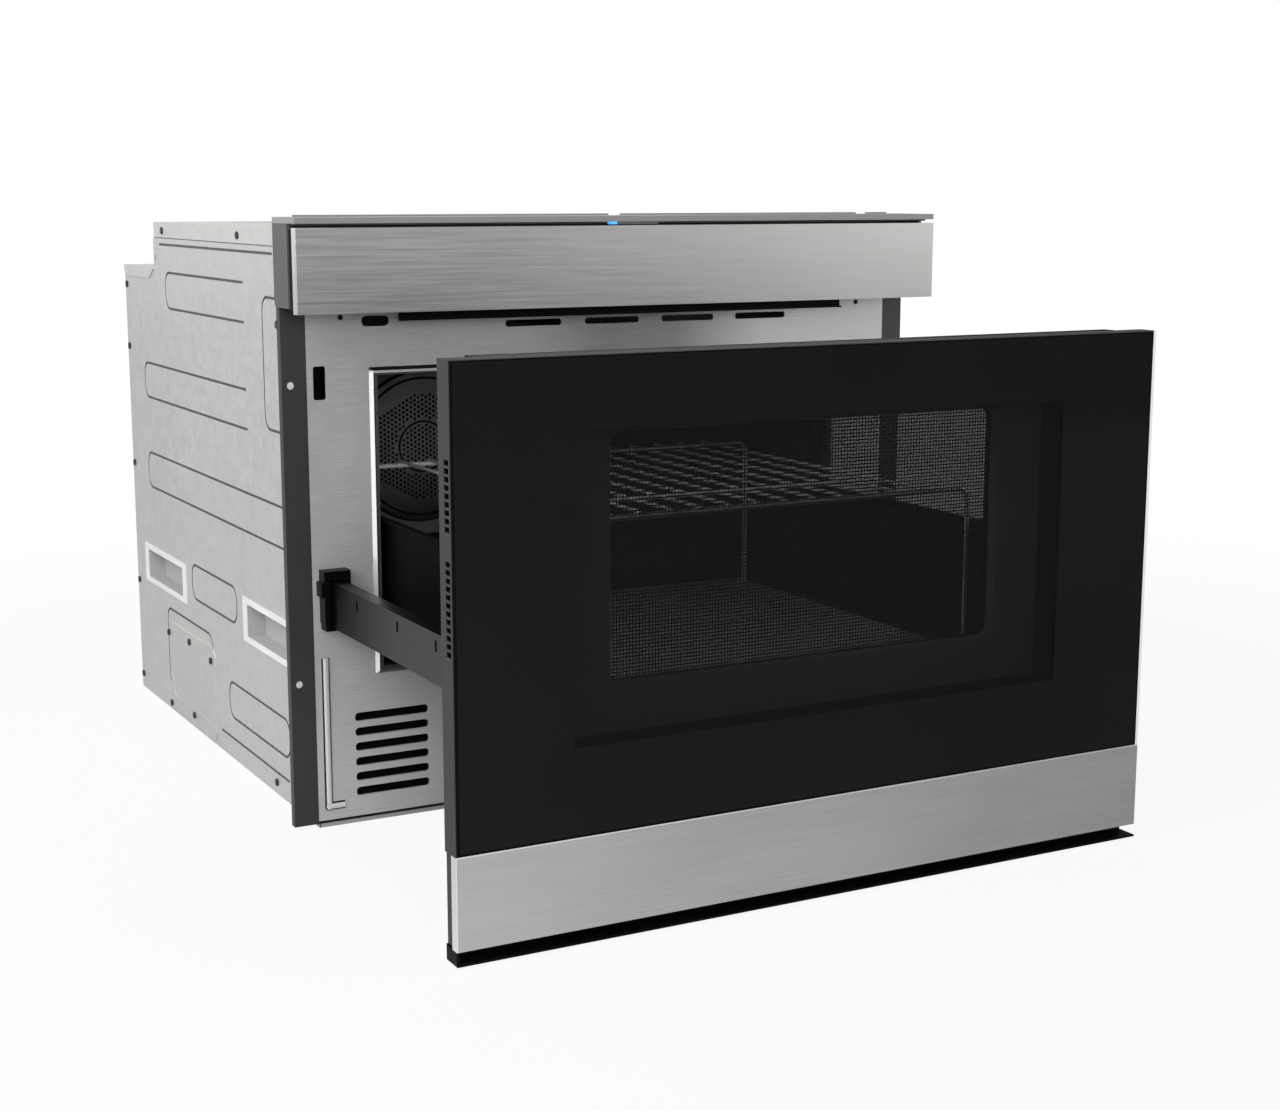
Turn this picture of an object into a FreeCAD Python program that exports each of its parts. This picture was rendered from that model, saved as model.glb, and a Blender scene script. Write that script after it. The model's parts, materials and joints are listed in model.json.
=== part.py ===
import FreeCAD, Part
import math
import os
import re
import Sketcher

# Built-in microwave drawer, in millimetres.
# X runs to the right as the user sees it, Y runs back into the cabinet and Z runs up.
# Y = 0 is the plane of the cabinet's face, Z = 0 the shelf that the oven stands on, X = 0 the middle.
# The drawer is modelled part open.

SIZES = {
    # overall front
    "face_width": (606.4, "door and control strip, side to side"),
    "face_projection": (54, "cabinet face to the front of the closed door"),
    "frame_projection": (8, "cabinet face to the front of the steel frame"),
    "rest_opening": (296.4, "how far the drawer is open as modelled"),
    "running_gap": (0.5, "between slides, pan and other parts that pass each other"),
    # case
    "case_width": (560, "outside of the side panels"),
    "case_depth": (558, "cabinet face to the back of the case"),
    "upper_depth": (440, "cabinet face to the back of the tall part of the case"),
    "case_height": (496, "shelf to the top cover"),
    "deck_drop": (45, "top cover to the lower rear deck"),
    "deck_flange": (11, "side flange of the lower rear deck"),
    "case_sheet": (1.5, "galvanised case sheet"),
    "base_flange": (10, "height of the base pan's front flange"),
    "cover_flange": (15.5, "depth of the top cover's side flange"),
    "flange_lap": (1, "sheets and cup flanges that lie on the outside of the case"),
    "bead_depth": (0.8, "depth of the pressed lines in the side panels"),
    "bead_width": (2.4, "width of the pressed lines in the side panels"),
    "bead_radius": (14, "corner radius of the pressed lines"),
    "plate_front": (282, "cabinet face to the access cover in the left side"),
    "plate_length": (157, "access cover"),
    "plate_low": (4, "shelf to the access cover"),
    "plate_height": (91, "access cover"),
    "cup_depth": (18, "how far a lifting cup reaches into the case"),
    "cup_wall": (2, "wall of a lifting cup"),
    "screw_head": (3.4, "radius of a case screw's head, across its corners"),
    "screw_rise": (1.6, "height of a case screw's head"),
    "screw_shank": (1.4, "radius of a case screw's shank"),
    "screw_reach": (1.5, "how far a case screw reaches past its sheets"),
    "vent_length": (60, "slot in the top cover"),
    "vent_width": (4, "slot in the top cover and the back"),
    "vent_pitch": (10, "distance between vent slots"),
    "vent_count": (8, "slots in one group"),
    "vent_back_gap": (40, "last slot of the top cover to its back edge"),
    # front frame
    "frame_width": (562, "steel frame, side to side"),
    "frame_foot": (4, "shelf to the frame's lower edge"),
    "frame_top": (432, "shelf to the frame's upper edge"),
    "frame_sheet": (1.5, "thickness of the frame and the trim strips"),
    "strip_width": (21, "dark trim strip beside the frame"),
    "cabinet_hole_radius": (3, "hole for a cabinet screw"),
    "cabinet_hole_side": (294.5, "middle of the oven to a cabinet screw"),
    "cabinet_hole_low": (125.4, "shelf to the lower cabinet screw"),
    "cabinet_hole_rise": (246.7, "lower to upper cabinet screw"),
    "air_slot_length": (52.5, "exhaust slot"),
    "air_slot_height": (5.5, "exhaust slot"),
    "air_slot_pitch": (75.2, "exhaust slot to exhaust slot"),
    "air_slot_first": (-104.6, "left end of the first exhaust slot"),
    "air_slot_low": (413.6, "shelf to the exhaust slots"),
    "air_slot_count": (4, "exhaust slots"),
    "louvre_left": (-247, "left end of the louvres"),
    "louvre_length": (66, "louvre slot"),
    "louvre_height": (7.4, "louvre slot"),
    "louvre_pitch": (12.9, "louvre to louvre"),
    "louvre_low": (23.6, "shelf to the lowest louvre"),
    "louvre_count": (6, "louvres"),
    "louvre_vane": (7, "how far a vane reaches inwards"),
    "frame_bead_width": (7.4, "raised hook-shaped bead"),
    "frame_bead_low": (14.5, "shelf to the bead"),
    "frame_bead_high": (145.6, "shelf to the bead's upper end"),
    "frame_bead_left": (-275.6, "left side of the bead"),
    "frame_bead_hook": (17.6, "length of the bead's foot"),
    "frame_bead_rise": (1.8, "how far the bead stands proud"),
    "latch_slot_width": (10.6, "slot for a latch hook"),
    "latch_slot_height": (27.3, "slot for a latch hook"),
    "latch_slot_side": (270.2, "middle of the oven to a latch slot"),
    "latch_slot_low": (359.5, "shelf to a latch slot"),
    # cavity
    "opening_width": (443, "inside of the cavity"),
    "opening_low": (134, "shelf to the cavity floor"),
    "opening_high": (378.3, "shelf to the cavity roof"),
    "rim_band": (6.2, "width of the rim around the opening"),
    "rim_projection": (3, "how far the rim stands out of the frame"),
    "cavity_sheet": (1.5, "cavity wall"),
    "fan_height": (257, "shelf to the convection fan's axis"),
    "cover_radius": (82, "perforated fan cover"),
    "cover_sheet": (1.5, "thickness of the fan cover"),
    "cover_step": (3, "how far the cover's dish stands out"),
    "cover_rings_outer": (75, "radius of the pressed outer ring"),
    "cover_rings_inner": (25.7, "radius of the pressed inner ring"),
    "cover_groove": (2, "width of the pressed rings"),
    "perforated_radius": (61, "radius of the perforated field"),
    "hole_size": (5.2, "hexagonal hole, across corners"),
    "hole_pitch": (8.4, "hole to hole"),
    "pot_radius": (92, "convection pot behind the cavity"),
    "pot_depth": (62, "convection pot"),
    "fan_radius": (58, "convection fan"),
    "fan_depth": (20, "convection fan blades"),
    "fan_blades": (12, "blades on the convection fan"),
    "fan_shaft": (4, "radius of the convection fan's shaft"),
    "shaft_fit": (0.05, "running clearance around shafts and pins"),
    "heater_radius": (74, "ring of the heating element"),
    "heater_rod": (3.5, "radius of the heating element's rod"),
    "heater_leg_side": (12, "middle of the oven to a leg of the heating element"),
    "fan_gap": (18, "back wall of the cavity to the convection fan"),
    "fan_plate": (1.2, "back plate of the convection fan"),
    "fan_hub": (12, "radius of the convection fan's hub"),
    "fan_motor_radius": (26, "convection fan's motor"),
    "fan_motor_length": (34, "convection fan's motor"),
    "fan_motor_bore": (21, "depth of the shaft hole in the convection fan's motor"),
    "motor_ear_reach": (38, "middle of the fan motor to the end of a mounting ear"),
    "motor_ear_sheet": (3, "thickness of the mounting ears of the motors"),
    "motor_ear_half": (7, "half height of the mounting ears of the motors"),
    # microwave feed
    "antenna_radius": (68, "rotating antenna"),
    "antenna_place": (215, "cabinet face to the antenna's axis"),
    "well_radius": (88, "well below the cavity floor"),
    "well_depth": (24, "well below the cavity floor"),
    "guide_width": (90, "waveguide"),
    "guide_height": (20, "waveguide"),
    "guide_reach": (420, "cabinet face to the end of the waveguide"),
    "magnetron_width": (86, "magnetron"),
    "magnetron_height": (70, "magnetron"),
    "magnetron_fins": (9, "cooling fins on the magnetron"),
    "magnetron_half": (34, "half depth of the magnetron's frame"),
    "magnetron_inset": (50, "end of the waveguide to the magnetron's axis"),
    "magnetron_plate": (3, "upper and lower plate of the magnetron's frame"),
    "magnetron_core": (20, "radius of the magnetron's body"),
    "magnetron_tip": (9, "radius of the magnetron's antenna"),
    "magnetron_tip_rise": (11, "height of the magnetron's antenna"),
    "antenna_slot_half": (7, "half width of a slot in the antenna"),
    "antenna_motor_half": (22, "half width of the antenna's motor"),
    "antenna_motor_height": (20, "antenna's motor"),
    "board_left": (-240, "left edge of the power board"),
    "board_right": (-120, "right edge of the power board"),
    "board_front": (290, "cabinet face to the power board"),
    "board_back": (430, "cabinet face to the back of the power board"),
    "board_rise": (12, "base pan to the power board"),
    "board_sheet": (1.6, "thickness of the power board"),
    "board_post": (3, "radius of a post of the power board"),
    "blower_left": (-246, "left side of the blower's housing"),
    "blower_right": (-196, "right side of the blower's housing"),
    "blower_wall": (1.5, "wall of the blower's housing"),
    "blower_motor_radius": (22, "blower's motor"),
    "blower_motor_length": (34, "blower's motor"),
    "blower_ear_reach": (34, "middle of the blower's motor to the end of a mounting ear"),
    "blower_radius": (48, "scroll of the cooling blower"),
    "blower_blades": (20, "blades on the cooling wheel"),
    # slides
    "rail_outside": (270, "middle of the oven to the outside of a drawer rail"),
    "rail_width": (14, "drawer rail"),
    "rail_low": (174, "shelf to a drawer rail"),
    "rail_height": (38, "drawer rail"),
    "rail_sheet": (1.5, "wall of all slide sections"),
    "rail_back": (150, "rear end of a drawer rail, drawer as modelled"),
    "carriage_length": (330, "middle slide section"),
    "carriage_back": (371.8, "rear end of the middle section, drawer as modelled"),
    "fixed_rail_back": (522, "rear end of the fixed slide section"),
    "bracket_projection": (13, "guide bracket, in front of the frame"),
    "bracket_wall": (2.6, "wall of the guide bracket"),
    # drive
    "gear_module": (1.5, "rack and pinion"),
    "gear_backlash": (0.2, "play between the teeth, measured along the pitch line"),
    "pinion_teeth": (18, "teeth of the pinion"),
    "pinion_place": (30, "cabinet face to the pinion's axis"),
    "rack_width": (8.5, "toothed rack"),
    "rack_height": (11, "toothed rack with its teeth"),
    "rack_teeth_front": (66, "rack teeth in front of the pinion, drawer as modelled"),
    "rack_teeth_back": (21, "rack teeth behind the pinion, drawer as modelled"),
    "pinion_shaft": (3, "radius of the pinion's shaft"),
    "motor_radius": (12, "drive motor"),
    # control panel
    "housing_low": (435, "shelf to the control housing"),
    "housing_high": (501.2, "shelf to the top of the control housing"),
    "cap_depth": (35, "end caps of the control housing"),
    "top_trim_height": (4.7, "trim above the control strip"),
    "fascia_low": (431.2, "shelf to the control strip"),
    "fascia_height": (66.8, "control strip"),
    "fascia_sheet": (1.2, "steel of the control strip and the door strip"),
    "fascia_return": (8, "folded edge of the steel strips"),
    "pivot_depth": (50, "cabinet face to the control panel's hinge"),
    "pivot_height": (437, "shelf to the control panel's hinge"),
    "pivot_pin": (1.5, "radius of the hinge pins"),
    "panel_width": (560, "control panel body between its hinge arms"),
    "touch_angle": (48, "slope of the touch glass when the panel is shut"),
    "touch_depth": (36, "touch glass, up the slope"),
    "touch_glass": (3, "thickness of the touch glass"),
    "deflector_width": (425, "air deflector below the control strip"),
    "deflector_low": (423.5, "shelf to the air deflector"),
    "deflector_front": (42, "cabinet face to the deflector's front edge"),
    # door
    "door_low": (12.1, "shelf to the steel strip of the door"),
    "door_high": (418, "shelf to the top of the door"),
    "door_strip": (67.9, "height of the steel strip of the door"),
    "door_side": (18.5, "depth of the door's outer frame"),
    "door_glass": (4, "thickness of the door glass"),
    "door_wall": (2.7, "wall of the door's outer frame"),
    "door_back_width": (554.8, "box on the back of the door"),
    "door_back_low": (104, "shelf to the box on the back of the door"),
    "door_back_depth": (13, "box on the back of the door"),
    "choke_width": (492, "raised field that covers the opening"),
    "choke_low": (112, "shelf to the raised field"),
    "choke_high": (400, "shelf to the top of the raised field"),
    "door_seal_gap": (0.5, "shut door to the rim of the opening"),
    "clear_width": (424, "clear part of the glass"),
    "clear_low": (145, "shelf to the clear part of the glass"),
    "clear_high": (367, "shelf to the top of the clear part"),
    "recess_depth": (22, "glass to the window mask"),
    "mesh_width": (341, "perforated window screen"),
    "mesh_low": (180, "shelf to the window screen"),
    "mesh_high": (361, "shelf to the top of the window screen"),
    "mesh_corner": (10, "corner radius of the window screen"),
    "mesh_depth": (36, "front of the door to the window screen"),
    "mesh_sheet": (0.6, "thickness of the window screen"),
    "side_vent_inset": (1.8, "front of the door to the small vents in its sides"),
    "side_vent_width": (8, "small vent in the side of the door"),
    "side_vent_height": (3.8, "small vent in the side of the door"),
    "side_vent_pitch": (5.6, "vent to vent"),
    "lip_sheet": (1.5, "plate under the finger recess"),
    "lip_low": (1.6, "shelf to the plate under the finger recess"),
    # pan and rack
    "pan_width": (430, "drawer pan"),
    "pan_lip": (4, "turned-out edge of the pan"),
    "pan_low": (140, "shelf to the pan"),
    "pan_high": (258, "shelf to the edge of the pan"),
    "pan_wall": (2.5, "wall of the pan"),
    "pan_corner": (12, "corner radius of the pan"),
    "pan_front_wall": (36, "height of the pan's front wall"),
    "pan_back_wall": (77, "height of the pan's back wall"),
    "pan_back_gap": (3, "shut pan to the fan cover"),
    "tray_thickness": (4, "ceramic plate in the pan"),
    "wire_radius": (1.5, "bars of the wire rack"),
    "frame_wire_radius": (2.2, "cross bars and legs of the wire rack"),
    "rack_top": (290, "shelf to the bars of the wire rack"),
    "wire_rack_width": (410, "wire rack"),
    "wire_rack_front": (-245, "front bar of the wire rack"),
    "wire_rack_back": (106, "back bar of the wire rack"),
    "wire_pitch": (25.8, "bar to bar"),
    "wire_bars": (13, "bars from front to back"),
    "wire_sink": (0.8, "how far the bars are welded into the cross bars"),
    "wire_overhang": (1.2, "how far the bars reach past the middle of the outer cross bars"),
    "wire_bend": (9, "bend between a cross bar and its legs"),
    "wire_middle": (80, "front cross bar to the middle one"),
}

doc = FreeCAD.newDocument("microwave_drawer")
sheet = doc.addObject("Spreadsheet::Sheet", "Dims")
for row, (alias, (amount, meaning)) in enumerate(SIZES.items(), start=1):
    sheet.set(f"A{row}", alias)
    sheet.set(f"B{row}", str(amount))
    sheet.set(f"C{row}", meaning)
    sheet.setAlias(f"B{row}", alias)
doc.recompute()

Vector = FreeCAD.Vector
ALONG_X, ALONG_Y, ALONG_Z = Vector(1, 0, 0), Vector(0, 1, 0), Vector(0, 0, 1)
SIDES = {"left": -1, "right": 1}
nodes = {}

# Places that several parts share, as formulas of the sizes above.
DOOR_FRONT = "-(face_projection + rest_opening)"
DOOR_BACK = f"({DOOR_FRONT} + door_side)"
CHOKE_FRONT = f"({DOOR_BACK} + door_back_depth)"
CHOKE_BACK = "-(frame_projection + rim_projection + door_seal_gap + rest_opening)"
FRAME_FRONT = "-frame_projection"
FRAME_BACK = "(frame_sheet - frame_projection)"
FASCIA_HIGH = "(fascia_low + fascia_height)"
COVER_FRONT = "(upper_depth - cover_step - cover_sheet)"
PAN_BACK = f"({COVER_FRONT} - pan_back_gap - rest_opening)"
TRAY_TOP = "(pan_low + pan_wall + tray_thickness)"
DECK_HIGH = "(case_height - deck_drop)"
DECK_LOW = f"({DECK_HIGH} - case_sheet)"
CASE_INSIDE = "(case_width / 2 - case_sheet)"
LAP_OUTSIDE = "(case_width / 2 + flange_lap)"


# ---------------------------------------------------------------- helpers

def linked(formula):
    """The same formula with each size read from the sheet."""
    return re.sub(r"[a-z_]+", lambda word: ("Dims." if word.group() in SIZES else "") + word.group(),
                  str(formula))


def number(formula):
    """What a formula comes to."""
    return float(sheet.evalExpression(linked(formula)))


def count(alias):
    return int(round(number(alias)))


def bind(item, **formulas):
    """Bind properties of a document object to formulas of the sheet."""
    for name, formula in formulas.items():
        item.setExpression(name, linked(formula))
    return item


def place(item, x=0, y=0, z=0):
    for axis, formula in zip("xyz", (x, y, z)):
        item.setExpression(f".Placement.Base.{axis}", linked(formula))
    return item


def block(xs, ys, zs, name="block"):
    """A box between two places on each axis."""
    item = doc.addObject("Part::Box", name)
    bind(item, Length=f"({xs[1]}) - ({xs[0]})", Width=f"({ys[1]}) - ({ys[0]})",
         Height=f"({zs[1]}) - ({zs[0]})")
    return place(item, xs[0], ys[0], zs[0])


def rod(radius, start, length, axis=ALONG_Z, name="rod"):
    """A cylinder from a start point along an axis."""
    item = doc.addObject("Part::Cylinder", name)
    bind(item, Radius=radius, Height=length)
    item.Placement.Rotation = FreeCAD.Rotation(ALONG_Z, axis)
    return place(item, *start)


def hexagon(radius, start, length, axis, name="hexagon"):
    """A six-sided prism from a start point along an axis."""
    item = doc.addObject("Part::Prism", name)
    item.Polygon = 6
    bind(item, Circumradius=radius, Height=length)
    item.Placement.Rotation = FreeCAD.Rotation(ALONG_Z, axis)
    return place(item, *start)


def fuse(items, name="fuse"):
    item = doc.addObject("Part::MultiFuse", name)
    item.Shapes = items
    return item


def cut(base, tools, name="cut"):
    item = doc.addObject("Part::Cut", name)
    item.Base = base
    item.Tool = tools[0] if len(tools) == 1 else group(tools)
    return item


def group(items, name="group"):
    item = doc.addObject("Part::Compound", name)
    item.Links = items
    return item


def node(name, item):
    """Name a finished sub-part."""
    item.Label = name
    nodes[name] = item
    return item


def mirrored(side, low, high):
    """A stretch of the X axis, given for the right side."""
    return (low, high) if side > 0 else (f"-({high})", f"-({low})")


# ---------------------------------------------------------------- sketches
# An outline is a function that draws in a sketch. Views: front (X, Z), side (Y, Z) and top (X, Y).

PLANES = {"front": "XZ_Plane", "side": "YZ_Plane", "top": "XY_Plane"}


class Drawing:
    """Lines and circles of one sketch, with every point held by a formula."""

    def __init__(self):
        self.geometry, self.constraints, self.formulas = [], [], {}

    def add(self, shape):
        self.geometry.append(shape)
        return len(self.geometry) - 1

    def constrain(self, kind, *arguments, formula=None):
        if formula is not None:
            self.formulas[len(self.constraints)] = linked(formula)
            arguments += (number(formula),)
        self.constraints.append(Sketcher.Constraint(kind, *arguments))

    def hold(self, shape, point, x=None, y=None):
        """Hold a point of a line or circle (1 start, 2 end, 3 centre)."""
        for kind, formula in (("DistanceX", x), ("DistanceY", y)):
            if formula is not None:
                self.constrain(kind, -1, 1, shape, point, formula=formula)

    def close(self, first, length):
        for step in range(length):
            self.constrain("Coincident", first + step, 2, first + (step + 1) % length, 1)

    def put_in(self, sketch):
        sketch.addGeometry(self.geometry, False)
        sketch.addConstraint(self.constraints)
        for index, formula in self.formulas.items():
            sketch.setExpression(f"Constraints[{index}]", formula)


def polygon(points):
    def draw(drawing):
        corners = [Vector(number(x), number(y), 0) for x, y in points]
        lines = [drawing.add(Part.LineSegment(corner, corners[(step + 1) % len(corners)]))
                 for step, corner in enumerate(corners)]
        drawing.close(lines[0], len(lines))
        for line, (x, y) in zip(lines, points):
            drawing.hold(line, 1, x, y)
    return draw


def rectangle(x0, x1, y0, y1):
    return polygon([(x0, y0), (x1, y0), (x1, y1), (x0, y1)])


def rounded(x0, x1, y0, y1, radius):
    """A rectangle with four round corners."""
    left, right = f"({x0}) + ({radius})", f"({x1}) - ({radius})"
    low, high = f"({y0}) + ({radius})", f"({y1}) - ({radius})"
    lines = [((left, y0), (right, y0)), ((x1, low), (x1, high)),
             ((right, y1), (left, y1)), ((x0, high), (x0, low))]
    centres = [(right, low), (right, high), (left, high), (left, low)]

    def draw(drawing):
        first = len(drawing.geometry)
        for quarter, (line, centre) in enumerate(zip(lines, centres)):
            ends = [Vector(number(x), number(y), 0) for x, y in line]
            drawing.add(Part.LineSegment(*ends))
            whole = Part.Circle(Vector(number(centre[0]), number(centre[1]), 0), ALONG_Z, number(radius))
            turned = math.radians(90 * quarter)
            drawing.add(Part.ArcOfCircle(whole, turned - math.pi / 2, turned))
        drawing.close(first, 2 * len(lines))
        for quarter, (line, centre) in enumerate(zip(lines, centres)):
            drawing.hold(first + 2 * quarter, 1, *line[0])
            drawing.hold(first + 2 * quarter, 2, *line[1])
            drawing.hold(first + 2 * quarter + 1, 3, x=centre[0])
    return draw


def grown(box, margin):
    """A rectangle that is wider than another on every side."""
    x0, x1, y0, y1 = box
    return f"{x0} - {margin}", f"{x1} + {margin}", f"{y0} - {margin}", f"{y1} + {margin}"


def open_loop(x0, x1, y0, y1, radius, width):
    """A line of some width that runs along y0, around two bends at x1 and back along y1."""
    low, high = f"({y0}) + ({radius})", f"({y1}) - ({radius})"

    def bends(reach):
        angles = (0, 30, 60, 90)
        first = [(f"({x1}) - ({radius}) + ({reach}) * sin({angle})", f"{low} - ({reach}) * cos({angle})")
                 for angle in angles]
        return first + [(x, f"{high} + ({reach}) * cos({angle})")
                        for (x, _), angle in zip(first[::-1], angles[::-1])]

    return polygon([(x0, y0)] + bends(radius) + [(x0, y1), (x0, f"({y1}) - ({width})")]
                   + bends(f"({radius}) - ({width})")[::-1] + [(x0, f"({y0}) + ({width})")])


def circle(x, y, radius):
    def draw(drawing):
        shape = drawing.add(Part.Circle(Vector(number(x), number(y), 0), ALONG_Z, number(radius)))
        drawing.hold(shape, 3, x, y)
        drawing.constrain("Radius", shape, formula=radius)
    return draw


def sketch_in(body, view, level, outlines, centre=None):
    """A sketch parallel to an origin plane, at a place along the axis that the view looks along.

    With a centre, its outlines are drawn around that point."""
    plane = next(item for item in body.Origin.OriginFeatures if item.Role == PLANES[view])
    sketch = body.newObject("Sketcher::SketchObject", f"{body.Name}_{view}")
    sketch.AttachmentSupport = [(plane, "")]
    sketch.MapMode = "FlatFace"
    sign = "-" if view == "front" else ""
    sketch.setExpression(".AttachmentOffset.Base.z", linked(f"{sign}({level})"))
    if centre:
        sketch.setExpression(".AttachmentOffset.Base.x", linked(centre[0]))
        sketch.setExpression(".AttachmentOffset.Base.y", linked(centre[1]))
    drawing = Drawing()
    for outline in outlines:
        outline(drawing)
    drawing.put_in(sketch)
    return sketch


def pad(body, view, low, high, *outlines, centre=None):
    """Add material between two places along the view's axis."""
    feature = body.newObject("PartDesign::Pad", f"{body.Name}_pad")
    feature.Profile = sketch_in(body, view, low, outlines, centre)
    bind(feature, Length=f"({high}) - ({low})")
    feature.Reversed = view == "front"
    body.Tip = feature
    return feature


def pocket(body, view, low, high, *outlines, centre=None):
    """Cut material away between two places along the view's axis."""
    feature = body.newObject("PartDesign::Pocket", f"{body.Name}_pocket")
    feature.Profile = sketch_in(body, view, low, outlines, centre)
    bind(feature, Length=f"({high}) - ({low})")
    feature.Reversed = view != "front"
    body.Tip = feature
    return feature


def ring_of(body, feature, copies):
    """Repeat a feature around the centre of its own sketch."""
    pattern = body.newObject("PartDesign::PolarPattern", f"{body.Name}_ring")
    pattern.Originals = [feature]
    pattern.Axis = (feature.Profile[0], ["N_Axis"])
    pattern.Angle = 360
    pattern.Occurrences = count(copies)
    body.Tip = pattern
    return pattern


def row_of(body, feature, view, axis, pitch, copies):
    """Repeat a feature along an axis (0 or 1) of its own sketch."""
    pattern = body.newObject("PartDesign::LinearPattern", f"{body.Name}_row")
    pattern.Originals = [feature]
    pattern.Direction = (feature.Profile[0], ["H_Axis", "V_Axis"][axis])
    bind(pattern, Length=f"{pitch} * ({copies} - 1)")
    pattern.Occurrences = count(copies)
    body.Tip = pattern
    return pattern


def new_body(name):
    return node(name, doc.addObject("PartDesign::Body", name))


# ---------------------------------------------------------------- case

# Outlines on the sides of the case, as front, back, low and high edges.
CUP_FLANGES = (("36", "186", "123.6", "164.5"), ("370", "521", "123.2", "163.2"))
CUP_EDGE = ("10", "3")
CLOSED_LINES = (("30", "497", "225", "263"), ("55", "106", "324.5", "439"), ("206", "352", "132.5", "169"),
                ("288", "447", "23.6", "108.5"), ("64", "240", "39.5", "76"))
OPEN_LINES = (("156", "406", "412", "449"), ("156", "497", "318", "355.5"))
STRAIGHT_LINES = (("73", "421", "case_height - 21.4"), ("69", "268", "20"))
# Screws through the side panels, and those that hold the access cover.
SIDE_SCREWS = (("408", "case_height - 8"), ("166", "case_height - 8"), ("64", "416.5"),
               ("case_depth - 8", f"{DECK_HIGH} - 20"), ("case_depth - 8", "367"), ("case_depth - 8", "244"),
               ("case_depth - 7", "118"), ("case_depth - 7", "15"), ("103", "11"))
PLATE_SCREWS = (("plate_front + 156", "plate_low + 4"), ("plate_front + 74", "plate_low + 9.5"),
                ("plate_front + 83", "plate_low + 82"), ("plate_front + 156.5", "plate_low + 78"),
                ("plate_front + 10.6", "plate_low + 78"))


def base_pan():
    body = new_body("base_pan")
    pad(body, "top", 0, "case_sheet",
        rectangle(f"-{CASE_INSIDE}", CASE_INSIDE, FRAME_BACK, "case_depth - case_sheet"))
    pad(body, "top", "case_sheet", "base_flange",
        rectangle(f"-{CASE_INSIDE}", CASE_INSIDE, FRAME_BACK, f"{FRAME_BACK} + case_sheet"))
    # Two pressed ribs stiffen the floor from side to side.
    for middle in ("case_depth / 4", "case_depth * 3 / 4"):
        pad(body, "top", "case_sheet", "case_sheet * 3",
            rounded("40 - case_width / 2", "case_width / 2 - 40", f"{middle} - 12", f"{middle} + 12", 10))


def side_panel(name, side):
    """Stepped side sheet with pressed lines and a hole for each handle cup."""
    body = new_body(f"side_panel_{name}")
    inner, outer = mirrored(side, CASE_INSIDE, "case_width / 2")
    pad(body, "side", inner, outer, polygon([
        (FRAME_BACK, 0), ("case_depth", 0), ("case_depth", DECK_LOW),
        ("upper_depth - case_sheet", DECK_LOW), ("upper_depth - case_sheet", "case_height - cover_flange"),
        (FRAME_BACK, "case_height - cover_flange")]))
    lines = [[open_loop(*line, "bead_radius", "bead_width")] for line in OPEN_LINES]
    lines += [[rectangle(y0, y1, f"{z} - bead_width / 2", f"{z} + bead_width / 2")]
              for y0, y1, z in STRAIGHT_LINES]
    lines += [[rounded(*line, "bead_radius"),
               rounded(*grown(line, "-bead_width"), "bead_radius - bead_width")] for line in CLOSED_LINES]
    low, high = mirrored(side, "case_width / 2 - bead_depth", "case_width / 2")
    for line in lines:
        pocket(body, "side", low, high, *line)
    holes = [rectangle(f"{y0} + {CUP_EDGE[0]}", f"{y1} - {CUP_EDGE[0]}",
                       f"{z0} + {CUP_EDGE[1]}", f"{z1} - {CUP_EDGE[1]}")
             for y0, y1, z0, z1 in CUP_FLANGES]
    pocket(body, "side", inner, outer, *holes)


def top_cover():
    body = new_body("top_cover")
    pad(body, "top", "case_height - case_sheet", "case_height",
        rectangle("-case_width / 2", "case_width / 2", FRAME_BACK, "upper_depth"))
    for side in SIDES.values():
        low, high = mirrored(side, CASE_INSIDE, "case_width / 2")
        pad(body, "top", "case_height - cover_flange", "case_height - case_sheet",
            rectangle(low, high, FRAME_BACK, "upper_depth"))
    for first in ("-case_width / 2 + 60", "case_width / 2 - 60 - vent_length"):
        start = "upper_depth - vent_back_gap - vent_pitch * vent_count"
        slot = pocket(body, "top", "case_height - case_sheet", "case_height",
                      rectangle(first, f"{first} + vent_length", start, f"{start} + vent_width"))
        row_of(body, slot, "top", 1, "vent_pitch", "vent_count")


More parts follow.
